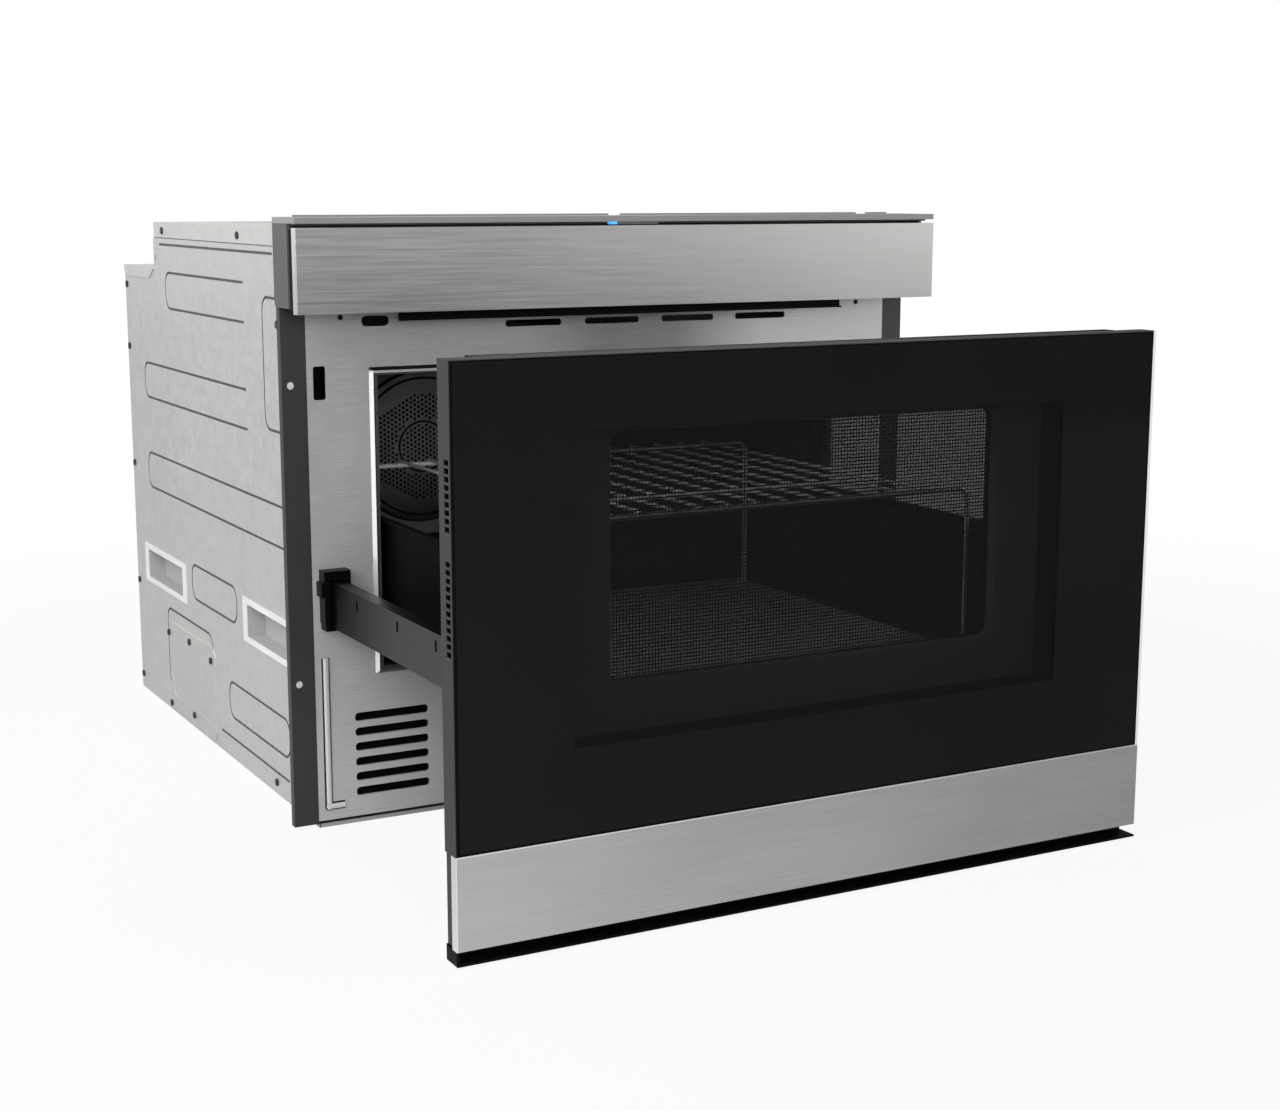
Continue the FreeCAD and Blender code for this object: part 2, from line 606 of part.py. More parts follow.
def rear_panels():
    """Bent sheet of the rear step with its side flanges, and the lower back with vents and cable entry."""
    step = new_body("rear_step")
    wall = "upper_depth - case_sheet"
    pad(step, "front", wall, "upper_depth", polygon([
        (f"-{LAP_OUTSIDE}", DECK_LOW), (LAP_OUTSIDE, DECK_LOW), (LAP_OUTSIDE, "case_height - cover_flange"),
        (CASE_INSIDE, "case_height - cover_flange"), (CASE_INSIDE, "case_height - case_sheet"),
        (f"-{CASE_INSIDE}", "case_height - case_sheet"), (f"-{CASE_INSIDE}", "case_height - cover_flange"),
        (f"-{LAP_OUTSIDE}", "case_height - cover_flange")]))
    pad(step, "top", DECK_LOW, DECK_HIGH,
        rectangle(f"-{LAP_OUTSIDE}", LAP_OUTSIDE, wall, "case_depth"))
    for side in SIDES.values():
        low, high = mirrored(side, "case_width / 2", LAP_OUTSIDE)
        pad(step, "side", low, high, polygon([
            ("upper_depth", f"{DECK_LOW} + 7"), (wall, f"{DECK_LOW} + 9"),
            (f"{wall} - 4", f"{DECK_LOW} + 15"), (f"{wall} - 4", "case_height - cover_flange"),
            ("upper_depth", "case_height - cover_flange")]))
        pad(step, "side", low, high, polygon([
            ("upper_depth + 6", DECK_LOW), ("upper_depth + 22", f"{DECK_HIGH} - deck_flange"),
            ("case_depth - 4", f"{DECK_HIGH} - deck_flange"), ("case_depth", DECK_LOW)]))
    lower = new_body("rear_panel")
    pad(lower, "front", "case_depth - case_sheet", "case_depth",
        rectangle(f"-{CASE_INSIDE}", CASE_INSIDE, 0, DECK_LOW))
    slot = pocket(lower, "front", "case_depth - case_sheet", "case_depth", rectangle(
        f"60 - {CASE_INSIDE}", f"60 - {CASE_INSIDE} + vent_length", 60, "60 + vent_width"))
    row_of(lower, slot, "front", 1, "vent_pitch", "vent_count")
    pocket(lower, "front", "case_depth - case_sheet", "case_depth", circle(190, 405, 11))


def handle_cups():
    """Two lifting cups in each side: a flange outside and a tray that reaches in."""
    cups = []
    for side in SIDES.values():
        for y0, y1, z0, z1 in CUP_FLANGES:
            along, upright = (f"{edge} + running_gap" for edge in CUP_EDGE)
            hole = (f"{y0} + {along}", f"{y1} - ({along})")
            rise = (f"{z0} + {upright}", f"{z1} - ({upright})")
            flange = block(mirrored(side, "case_width / 2", LAP_OUTSIDE), (y0, y1), (z0, z1))
            tray = block(mirrored(side, "case_width / 2 - cup_depth", "case_width / 2"), hole, rise)
            room = block(mirrored(side, "case_width / 2 - cup_depth + cup_wall", f"{LAP_OUTSIDE} + 1"),
                         (f"{hole[0]} + cup_wall", f"{hole[1]} - cup_wall"),
                         (f"{rise[0]} + cup_wall", f"{rise[1]} - cup_wall"))
            cups.append(cut(fuse([flange, tray]), [room]))
    node("handle_cups", group(cups))


def access_cover():
    body = new_body("access_cover")
    low, high = mirrored(-1, "case_width / 2", LAP_OUTSIDE)
    outline = ("plate_front", "plate_front + plate_length", "plate_low", "plate_low + plate_height")
    pad(body, "side", low, high, rounded(*outline, 10))
    # A shallow field is pressed into it, clear of its screws.
    pocket(body, "side", low, f"{low} + flange_lap * 0.4", rounded(
        "plate_front + 10", "plate_front + plate_length - 10", "plate_low + 15", "plate_low + 70", 8))


def case_screws():
    """Hexagon-head screws that hold the case sheets."""
    rows = [(side, y, z, 0) for side in SIDES.values() for y, z in SIDE_SCREWS]
    rows += [(SIDES["left"], y, z, "flange_lap") for y, z in PLATE_SCREWS]
    screws = []
    for side, y, z, lift in rows:
        start = (f"{side} * (case_width / 2 + {lift})", y, z)
        head = hexagon("screw_head", start, "screw_rise", ALONG_X * side)
        shank = rod("screw_shank", start, f"case_sheet + {lift} + screw_reach", ALONG_X * -side)
        screws.append(fuse([head, shank]))
    node("case_screws", group(screws))


# ---------------------------------------------------------------- front

def front_frame():
    """Brushed sheet around the cavity, with exhaust slots, louvres and a raised bead."""
    body = new_body("front_frame")
    edge = "opening_width / 2 + rim_band"
    pad(body, "front", FRAME_FRONT, FRAME_BACK,
        rectangle("-frame_width / 2", "frame_width / 2", "frame_foot", "frame_top"),
        rectangle(f"-({edge})", edge, "opening_low - rim_band", "opening_high + rim_band"))
    through = (FRAME_FRONT, FRAME_BACK)
    slot_outside, slot_inside = "rail_outside + running_gap", "rail_outside - rail_width - running_gap"
    slot_low, slot_high = "rail_low - running_gap", "rail_low + rail_height + running_gap"
    rack_inside = "rail_outside - rail_width - rack_width - running_gap * 2"
    rack_high = "rail_low + rack_height + running_gap"
    rail_slots = [
        rectangle(*mirrored(-1, slot_inside, slot_outside), slot_low, slot_high),
        polygon([(rack_inside, slot_low), (slot_outside, slot_low), (slot_outside, slot_high),
                 (slot_inside, slot_high), (slot_inside, rack_high), (rack_inside, rack_high)])]
    latch_slots = [rounded(*mirrored(side, "latch_slot_side - latch_slot_width / 2",
                                     "latch_slot_side + latch_slot_width / 2"),
                           "latch_slot_low", "latch_slot_low + latch_slot_height", 2)
                   for side in SIDES.values()]
    pocket(body, "front", *through, *rail_slots, *latch_slots)
    pocket(body, "front", *through, rounded(-233, -209.3, 417.7, 426.3, 4),
           *[circle(f"{side} * 251", 425.6, 2.3) for side in SIDES.values()])
    slot = pocket(body, "front", *through, rounded(
        "air_slot_first", "air_slot_first + air_slot_length",
        "air_slot_low", "air_slot_low + air_slot_height", "air_slot_height * 0.4"))
    row_of(body, slot, "front", 0, "air_slot_pitch", "air_slot_count")
    louvre = pocket(body, "front", *through, rounded(
        "louvre_left", "louvre_left + louvre_length",
        "louvre_low", "louvre_low + louvre_height", "louvre_height * 0.45"))
    row_of(body, louvre, "front", 1, "louvre_pitch", "louvre_count")
    vane = pad(body, "side", "louvre_left", "louvre_left + louvre_length", polygon([
        (FRAME_FRONT, "louvre_low - 0.8"), (FRAME_BACK, "louvre_low"),
        (f"{FRAME_BACK} + louvre_vane", "louvre_low + louvre_vane * 0.7"),
        (f"{FRAME_BACK} + louvre_vane", "louvre_low + louvre_vane * 0.7 - 1.2"),
        (FRAME_BACK, "louvre_low - 1.6")]))
    row_of(body, vane, "side", 1, "louvre_pitch", "louvre_count")
    # A raised bead runs down beside the louvres and turns in at its foot.
    bow = ((0, 0), (0.1, 0.55), (0.28, 0.88), (0.5, 1), (0.72, 0.88), (0.9, 0.55), (1, 0))
    middle = ("frame_bead_left + frame_bead_width / 2", "frame_bead_low + frame_bead_width / 2")
    pad(body, "top", middle[1], "frame_bead_high", polygon([
        (f"frame_bead_left + frame_bead_width * {along}", f"{FRAME_FRONT} - frame_bead_rise * {rise}")
        for along, rise in bow]))
    pad(body, "side", middle[0], "frame_bead_left + frame_bead_hook", polygon([
        (f"{FRAME_FRONT} - frame_bead_rise * {rise}", f"frame_bead_low + frame_bead_width * {along}")
        for along, rise in bow]))
    for share, reach in ((0.55, 0.5), (0.88, 0.36), (1, 0.2)):
        pad(body, "front", f"{FRAME_FRONT} - frame_bead_rise * {share}", FRAME_FRONT,
            circle(*middle, f"frame_bead_width * {reach}"))


def cavity_rim():
    """Bevelled lip around the opening, which the shut door meets."""
    body = new_body("cavity_rim")
    inside = ("-opening_width / 2", "opening_width / 2", "opening_low", "opening_high")
    outside = ("-(opening_width / 2 + rim_band)", "opening_width / 2 + rim_band",
               "opening_low - rim_band", "opening_high + rim_band")
    ring = pad(body, "front", f"{FRAME_FRONT} - rim_projection", 0, rectangle(*outside), rectangle(*inside))
    doc.recompute()
    front = number(f"{FRAME_FRONT} - rim_projection")
    wide, tall = number("opening_width") + 1, number("opening_high - opening_low") + 1
    edges = [f"Edge{index}" for index, edge in enumerate(ring.Shape.Edges, start=1)
             if abs(edge.BoundBox.YMax - front) < 0.01
             and (edge.BoundBox.XLength > wide or edge.BoundBox.ZLength > tall)]
    bevel = body.newObject("PartDesign::Chamfer", "cavity_rim_bevel")
    bevel.Base = (ring, edges)
    bind(bevel, Size="rim_projection * 0.9")
    body.Tip = bevel


def trim_strips():
    """Dark strips that cover the edge of the cabinet's cut-out, with the cabinet screw holes."""
    for name, side in SIDES.items():
        body = new_body(f"trim_strip_{name}")
        inner, outer = mirrored(side, "frame_width / 2", "frame_width / 2 + strip_width")
        low, high = mirrored(side, "frame_width / 2 + strip_width - frame_sheet",
                             "frame_width / 2 + strip_width")
        pad(body, "front", FRAME_FRONT, FRAME_BACK,
            rectangle(inner, outer, "frame_foot", "housing_low"))
        pad(body, "front", FRAME_BACK, 0, rectangle(low, high, "frame_foot", "housing_low"))
        hole = pocket(body, "front", FRAME_FRONT, FRAME_BACK,
                      circle(f"{side} * cabinet_hole_side", "cabinet_hole_low", "cabinet_hole_radius"))
        row_of(body, hole, "front", 1, "cabinet_hole_rise", 2)


# ---------------------------------------------------------------- cavity

def cavity_liner():
    """Floor, roof, two side walls and back of the cavity, each a flat sheet."""
    inside, outside = "opening_width / 2", "(opening_width / 2 + cavity_sheet)"
    low, high = "(opening_low - cavity_sheet)", "(opening_high + cavity_sheet)"
    back = "(upper_depth + cavity_sheet)"
    # The antenna feeds through the floor, and the fan breathes through the back.
    floor = cut(block((f"-{outside}", outside), (0, "upper_depth"), (low, "opening_low")),
                [rod("well_radius - 8", (0, "antenna_place", f"{low} - 1"), "cavity_sheet + 2")])
    roof = block((f"-{outside}", outside), (0, "upper_depth"), ("opening_high", high))
    walls = [block(mirrored(side, inside, outside), (0, "upper_depth"), ("opening_low", "opening_high"))
             for side in SIDES.values()]
    rear = cut(block((f"-{outside}", outside), ("upper_depth", back), (low, high)),
               [rod("cover_radius - 6", (0, "upper_depth - 1", "fan_height"), "cavity_sheet + 2", ALONG_Y)])
    node("cavity_liner", group([floor, roof, rear] + walls))


def fan_cover():
    """Dished cover with two pressed rings and a field of hexagonal holes."""
    radius, sheet_thickness = number("cover_radius"), number("cover_sheet")
    step, groove = number("cover_step"), number("cover_groove")
    outer_ring, inner_ring = number("cover_rings_outer"), number("cover_rings_inner")
    rim = radius - step
    profile = [(0, 0), (inner_ring, 0), (inner_ring, sheet_thickness / 2),
               (inner_ring + groove, sheet_thickness / 2), (inner_ring + groove, 0),
               (outer_ring, 0), (outer_ring, sheet_thickness / 2),
               (outer_ring + groove, sheet_thickness / 2), (outer_ring + groove, 0),
               (rim, 0), (radius, step), (radius, step + sheet_thickness), (rim, sheet_thickness),
               (0, sheet_thickness)]
    face = Part.Face(Part.makePolygon([Vector(x, y, 0) for x, y in profile + profile[:1]]))
    dish = face.revolve(Vector(0, 0, 0), ALONG_Y, 360)
    pitch, across = number("hole_pitch"), number("hole_size") / 2
    field = number("perforated_radius") - across
    reach = int(field / (pitch * math.sqrt(3) / 2)) + 1
    holes = []
    for column in range(-reach, reach + 1):
        x = column * pitch * math.sqrt(3) / 2
        for row in range(-reach - 1, reach + 2):
            z = (row + 0.5 * (column % 2)) * pitch
            distance = math.hypot(x, z)
            clear_of_ring = not inner_ring - across < distance < inner_ring + groove + across
            if distance < field and clear_of_ring:
                corners = [Vector(x + across * math.cos(math.radians(60 * k)), -1,
                                  z + across * math.sin(math.radians(60 * k))) for k in range(7)]
                hole = Part.Face(Part.makePolygon(corners))
                holes.append(hole.extrude(ALONG_Y * (sheet_thickness + 2)))
    item = doc.addObject("Part::Feature", "fan_cover")
    item.Shape = dish.cut(Part.makeCompound(holes))
    place(item, 0, COVER_FRONT, "fan_height")
    node("fan_cover", item)


def convection_pot():
    """Pot behind the cavity with its ring heater, fan and motor."""
    back = "upper_depth + cavity_sheet"
    outer = rod("pot_radius", (0, back, "fan_height"), "pot_depth", ALONG_Y)
    room = rod("pot_radius - cavity_sheet", (0, f"{back} - 1", "fan_height"),
               "pot_depth - cavity_sheet + 1", ALONG_Y)
    bore = rod("fan_shaft + shaft_fit * 10", (0, back, "fan_height"), "pot_depth + 5", ALONG_Y)
    node("convection_pot", cut(outer, [room, bore]))

    ring = doc.addObject("Part::Torus", "heater_loop")
    bind(ring, Radius1="heater_radius", Radius2="heater_rod")
    ring.Placement.Rotation = FreeCAD.Rotation(ALONG_Z, ALONG_Y)
    place(ring, 0, f"{back} + pot_depth / 3", "fan_height")
    legs = [rod("heater_rod", (x, f"{back} + pot_depth / 3", "fan_height - heater_radius"),
                "pot_depth * 2 / 3 - cavity_sheet", ALONG_Y)
            for x in ("-heater_leg_side", "heater_leg_side")]
    node("heater_ring", fuse([ring] + legs))

    motor_front = f"{back} + pot_depth"
    motor = rod("fan_motor_radius", (0, motor_front, "fan_height"), "fan_motor_length", ALONG_Y)
    shaft_hole = rod("fan_shaft + shaft_fit", (0, f"{motor_front} - 1", "fan_height"),
                     "fan_motor_bore", ALONG_Y)
    ears = block(("-motor_ear_reach", "motor_ear_reach"),
                 (motor_front, f"{motor_front} + motor_ear_sheet"),
                 ("fan_height - motor_ear_half", "fan_height + motor_ear_half"))
    node("convection_motor", cut(fuse([motor, ears]), [shaft_hole]))


def convection_fan():
    """Radial fan: back plate, hub, shaft and bent blades around the hub."""
    body = new_body("convection_fan")
    centre = (0, "fan_height")
    front = "upper_depth + cavity_sheet + fan_gap"
    plate_back = f"{front} + fan_depth + fan_plate"
    pad(body, "front", f"{front} + fan_depth", plate_back, circle(0, 0, "fan_radius"), centre=centre)
    pad(body, "front", front, f"{front} + fan_depth", circle(0, 0, "fan_hub"), centre=centre)
    pad(body, "front", plate_back, "upper_depth + cavity_sheet + pot_depth + 18",
        circle(0, 0, "fan_shaft"), centre=centre)
    blade = pad(body, "front", front, f"{front} + fan_depth", polygon([
        ("fan_hub - 1", -1), ("fan_radius * 0.6", -3), ("fan_radius - 2", -12),
        ("fan_radius - 3", -13), ("fan_radius * 0.6", -4.4), ("fan_hub - 1", -2.4)]), centre=centre)
    ring_of(body, blade, "fan_blades")


def microwave_feed():
    """Well and waveguide below the cavity, magnetron, and the antenna that turns in the well."""
    guide_top = "(opening_low - cavity_sheet - well_depth)"
    guide_low = f"({guide_top} - guide_height)"
    dish = rod("well_radius + cavity_sheet", (0, "antenna_place", guide_top), "well_depth")
    room = rod("well_radius", (0, "antenna_place", f"{guide_top} + cavity_sheet"), "well_depth")
    duct = block(("-guide_width / 2", "guide_width / 2"), ("antenna_place - 50", "guide_reach"),
                 (guide_low, guide_top))
    inside = block(("cavity_sheet - guide_width / 2", "guide_width / 2 - cavity_sheet"),
                   ("antenna_place - 50 + cavity_sheet", "guide_reach - cavity_sheet"),
                   (f"{guide_low} + cavity_sheet", f"{guide_top} - cavity_sheet"))
    coupling = rod(14, (0, "antenna_place", f"{guide_top} - cavity_sheet - 1"), "cavity_sheet * 2 + 2")
    bearing = rod("pinion_shaft + shaft_fit", (0, "antenna_place", f"{guide_low} - 1"), 5)
    magnetron_y = "(guide_reach - magnetron_inset)"
    dome = rod("magnetron_tip + 2", (0, magnetron_y, f"{guide_low} - 1"), "cavity_sheet + 2")
    node("waveguide", cut(fuse([dish, duct]), [room, inside, coupling, bearing, dome]))

    magnetron_low = f"({guide_low} - magnetron_height)"
    depths = (f"{magnetron_y} - magnetron_half", f"{magnetron_y} + magnetron_half")
    frame = [block(("-magnetron_width / 2", "magnetron_width / 2"), depths, stretch)
             for stretch in ((f"{guide_low} - magnetron_plate", guide_low),
                             (magnetron_low, f"{magnetron_low} + magnetron_plate"))]
    cheeks = [block(mirrored(side, "magnetron_width / 2 - 2", "magnetron_width / 2"),
                    depths, (magnetron_low, guide_low))
              for side in SIDES.values()]
    core = rod("magnetron_core", (0, magnetron_y, magnetron_low), "magnetron_height")
    tip = rod("magnetron_tip", (0, magnetron_y, guide_low), "magnetron_tip_rise")
    fins = []
    for step in range(count("magnetron_fins")):
        low = (f"{magnetron_low} + magnetron_plate + (magnetron_height - 2 * magnetron_plate)"
               f" * {step + 1} / (magnetron_fins + 1)")
        fins.append(block(("-magnetron_width / 2 + 1", "magnetron_width / 2 - 1"),
                          (f"{magnetron_y} - magnetron_half + 4", f"{magnetron_y} + magnetron_half - 4"),
                          (low, f"{low} + 1")))
    node("magnetron", fuse(frame + cheeks + fins + [core, tip]))

    antenna = new_body("antenna")
    disc_low = f"({guide_top} + well_depth * 0.45)"
    pad(antenna, "top", disc_low, f"{disc_low} + cavity_sheet", circle(0, 0, "antenna_radius"),
        centre=(0, "antenna_place"))
    slot = pocket(antenna, "top", disc_low, f"{disc_low} + cavity_sheet",
                  rounded("antenna_radius * 0.3", "antenna_radius * 0.85",
                          "-antenna_slot_half", "antenna_slot_half", "antenna_slot_half - 1"),
                  centre=(0, "antenna_place"))
    ring_of(antenna, slot, 3)
    pad(antenna, "top", f"{guide_low} - 8", disc_low, circle(0, 0, "pinion_shaft"),
        centre=(0, "antenna_place"))

    motor = block(("-antenna_motor_half", "antenna_motor_half"),
                  ("antenna_place - antenna_motor_half", "antenna_place + antenna_motor_half"),
                  (f"{guide_low} - antenna_motor_height", guide_low))
    bore = rod("pinion_shaft + shaft_fit", (0, "antenna_place", f"{guide_low} - 9"), 10)
    node("antenna_motor", cut(motor, [bore]))


def inverter_board():
    """Power board on four posts, with a finned heat sink and a transformer."""
    low = "(case_sheet + board_rise)"
    top = f"({low} + board_sheet)"
    board = block(("board_left", "board_right"), ("board_front", "board_back"), (low, top))
    posts = [rod("board_post", (x, y, "case_sheet"), "board_rise + 1")
             for x in ("board_left + 8", "board_right - 8")
             for y in ("board_front + 8", "board_back - 34")]
    sink_depths = ("board_front + 10", "board_back - 40")
    sink = block(("board_left + 8", "board_left + 48"), sink_depths, (top, f"{low} + 6"))
    fins = [block((f"board_left + 8 + 7.6 * {step}", f"board_left + 10 + 7.6 * {step}"),
                  sink_depths, (f"{low} + 6", f"{low} + 32")) for step in range(6)]
    transformer = block(("board_right - 56", "board_right - 12"),
                        ("board_front + 20", "board_front + 66"), (top, f"{low} + 36"))
    winding = rod(17, ("board_right - 34", "board_front + 82", top), 26)
    node("inverter_board", fuse([board, sink, transformer, winding] + posts + fins))


BLOWER = (125, 64)


def blower():
    """Cooling blower behind the louvres: scroll, drum wheel and motor."""
    left, right = "blower_left", "blower_right"
    housing = new_body("blower_housing")
    pad(housing, "side", left, right, circle(0, 0, "blower_radius"), centre=BLOWER)
    pad(housing, "side", left, right,
        rectangle(0, "blower_radius * 1.8", "blower_radius * 0.35", "blower_radius"), centre=BLOWER)
    pad(housing, "side", left, right,
        rectangle(-35, -5, f"case_sheet - {BLOWER[1]}", "-blower_radius * 0.5"), centre=BLOWER)
    room = (f"{left} + blower_wall", f"{right} - blower_wall")
    pocket(housing, "side", *room, circle(0, 0, "blower_radius - blower_wall"), centre=BLOWER)
    pocket(housing, "side", *room,
           rectangle(0, "blower_radius * 1.8 + 1", "blower_radius * 0.35 + blower_wall",
                     "blower_radius - blower_wall"),
           centre=BLOWER)
    pocket(housing, "side", left, room[0], circle(0, 0, "blower_radius * 0.6"), centre=BLOWER)
    pocket(housing, "side", room[1], right, circle(0, 0, "pinion_shaft + shaft_fit * 20"), centre=BLOWER)

    wheel = new_body("blower_wheel")
    outer, inner = "blower_radius * 0.74", "blower_radius * 0.6"
    pad(wheel, "side", f"{right} - 7", f"{right} - 5", circle(0, 0, outer), centre=BLOWER)
    pad(wheel, "side", f"{right} - 26", f"{right} - 7", circle(0, 0, 8), centre=BLOWER)
    pad(wheel, "side", f"{right} - 5", f"{right} + 12", circle(0, 0, "pinion_shaft"), centre=BLOWER)
    blade = pad(wheel, "side", f"{left} + 6", f"{right} - 7", polygon([
        (inner, -1), (outer, 2.4), (f"{outer} - 0.4", 3.6), (inner, 0.2)]), centre=BLOWER)
    ring_of(wheel, blade, "blower_blades")
    pad(wheel, "side", f"{left} + 4", f"{left} + 6", circle(0, 0, outer), circle(0, 0, inner),
        centre=BLOWER)

    motor = rod("blower_motor_radius", (right, *BLOWER), "blower_motor_length", ALONG_X)
    ears = block((right, f"{right} + motor_ear_sheet"),
                 (f"{BLOWER[0]} - blower_ear_reach", f"{BLOWER[0]} + blower_ear_reach"),
                 (f"{BLOWER[1]} - motor_ear_half", f"{BLOWER[1]} + motor_ear_half"))
    bore = rod("pinion_shaft + shaft_fit", (f"{right} - 1", *BLOWER), 15, ALONG_X)
    node("blower_motor", cut(fuse([motor, ears]), [bore]))


def terminal_box():
    """Mains terminals behind a cable entry with a bushing; no lead is fitted."""
    x0, x1, z0, z1 = 150, 230, 380, 430
    shell = block((x0, x1), ("case_depth - case_sheet - 45", "case_depth - case_sheet"), (z0, z1))
    room = block((x0 + 2, x1 - 2), ("case_depth - case_sheet - 43", "case_depth - case_sheet - 2"),
                 (z0 + 2, z1 - 2))
    bushing = rod(10.5, (190, "case_depth - case_sheet", 405), "case_sheet + 3", ALONG_Y)
    bore = rod(6, (190, "case_depth - case_sheet - 10", 405), "case_sheet + 20", ALONG_Y)
    node("terminal_box", cut(fuse([shell, bushing]), [room, bore]))


# ---------------------------------------------------------------- slides and drive

RAIL_HIGH = "(rail_low + rail_height)"
STEP_OUT = "(running_gap + rail_sheet)"


def channel(body, side, web_inside, low, high, front, back):
    """A C-shaped slide section that is open towards the middle of the oven."""
    flange = "rail_outside - rail_width + 2"
    outline = [(flange, low), (f"{web_inside} + rail_sheet", low), (f"{web_inside} + rail_sheet", high),
               (flange, high), (flange, f"{high} - rail_sheet"), (web_inside, f"{high} - rail_sheet"),
               (web_inside, f"{low} + rail_sheet"), (flange, f"{low} + rail_sheet")]
    pad(body, "front", front, back, polygon([(f"{side} * ({x})", z) for x, z in outline]))


def slides():
    """Three-part slides: fixed section, middle carriage and drawer rail."""
    fixed, carriages = [], []
    for name, side in SIDES.items():
        rail = doc.addObject("PartDesign::Body", f"fixed_rail_{name}")
        channel(rail, side, f"rail_outside + {STEP_OUT} + running_gap", f"(rail_low - 2 * {STEP_OUT})",
                f"({RAIL_HIGH} + 2 * {STEP_OUT})", FRAME_BACK, "fixed_rail_back")
        low, high = mirrored(side, f"rail_outside + 2 * {STEP_OUT}", "case_width / 2 - case_sheet")
        pad(rail, "side", low, high, rectangle(60, 90, 182, 204), rectangle(460, 490, 182, 204))
        fixed.append(rail)
        carriage = doc.addObject("PartDesign::Body", f"carriage_{name}")
        channel(carriage, side, "rail_outside + running_gap", f"(rail_low - {STEP_OUT})",
                f"({RAIL_HIGH} + {STEP_OUT})", "carriage_back - carriage_length", "carriage_back")
        carriages.append(carriage)
        drawer_rail = new_body(f"drawer_rail_{name}")
        channel(drawer_rail, side, "rail_outside - rail_sheet", "rail_low", RAIL_HIGH,
                CHOKE_FRONT, "rail_back")
        low, high = mirrored(side, "rail_outside - rail_sheet", "rail_outside")
        pocket(drawer_rail, "side", low, high,
               *[rounded(y - 2, y + 2, "rail_low + 24", "rail_low + 33", 1.8) for y in (-81, -167, -242)])
    node("fixed_rails", group(fixed))
    node("slide_carriages", group(carriages))


def guide_brackets():
    """Black guides on the frame that the drawer rails run through."""
    brackets = []
    for name, side in SIDES.items():
        body = doc.addObject("PartDesign::Body", f"guide_bracket_{name}")
        outside, inside = "rail_outside + bracket_wall * 2", "rail_outside - rail_width - bracket_wall - 1"
        top = f"{RAIL_HIGH} + bracket_wall * 3.2"
        outline = [("rail_outside - 7.4", "rail_low - 3.5"), ("rail_outside + 4.5", "rail_low - 3.5"),
                   ("rail_outside + 4.5", "rail_low + 2"), (outside, "rail_low + 2"),
                   (outside, "rail_low + 25"), (f"{outside} + 2.5", "rail_low + 25"),
                   (f"{outside} + 2.5", "rail_low + 37"), (outside, "rail_low + 37"), (outside, top),
                   (inside, top), (inside, "rail_low - 1.5"), ("rail_outside - 7.4", "rail_low - 1.5")]
        front = f"{FRAME_FRONT} - bracket_projection"
        pad(body, "front", front, FRAME_FRONT, polygon([(f"{side} * ({x})", z) for x, z in outline]))
        low, high = mirrored(side, "rail_outside - rail_width - running_gap + 2",
                             "rail_outside + running_gap")
        pocket(body, "front", front, FRAME_FRONT,
               rectangle(low, high, "rail_low - running_gap", f"{RAIL_HIGH} + running_gap"))
        if side > 0:
            pocket(body, "front", front, FRAME_FRONT,
                   rectangle(f"{inside} - 1", "rail_outside - rail_width + 3",
                             "rail_low - 2", "rail_low + rack_height + running_gap"))
        brackets.append(body)
    node("guide_brackets", group(brackets))


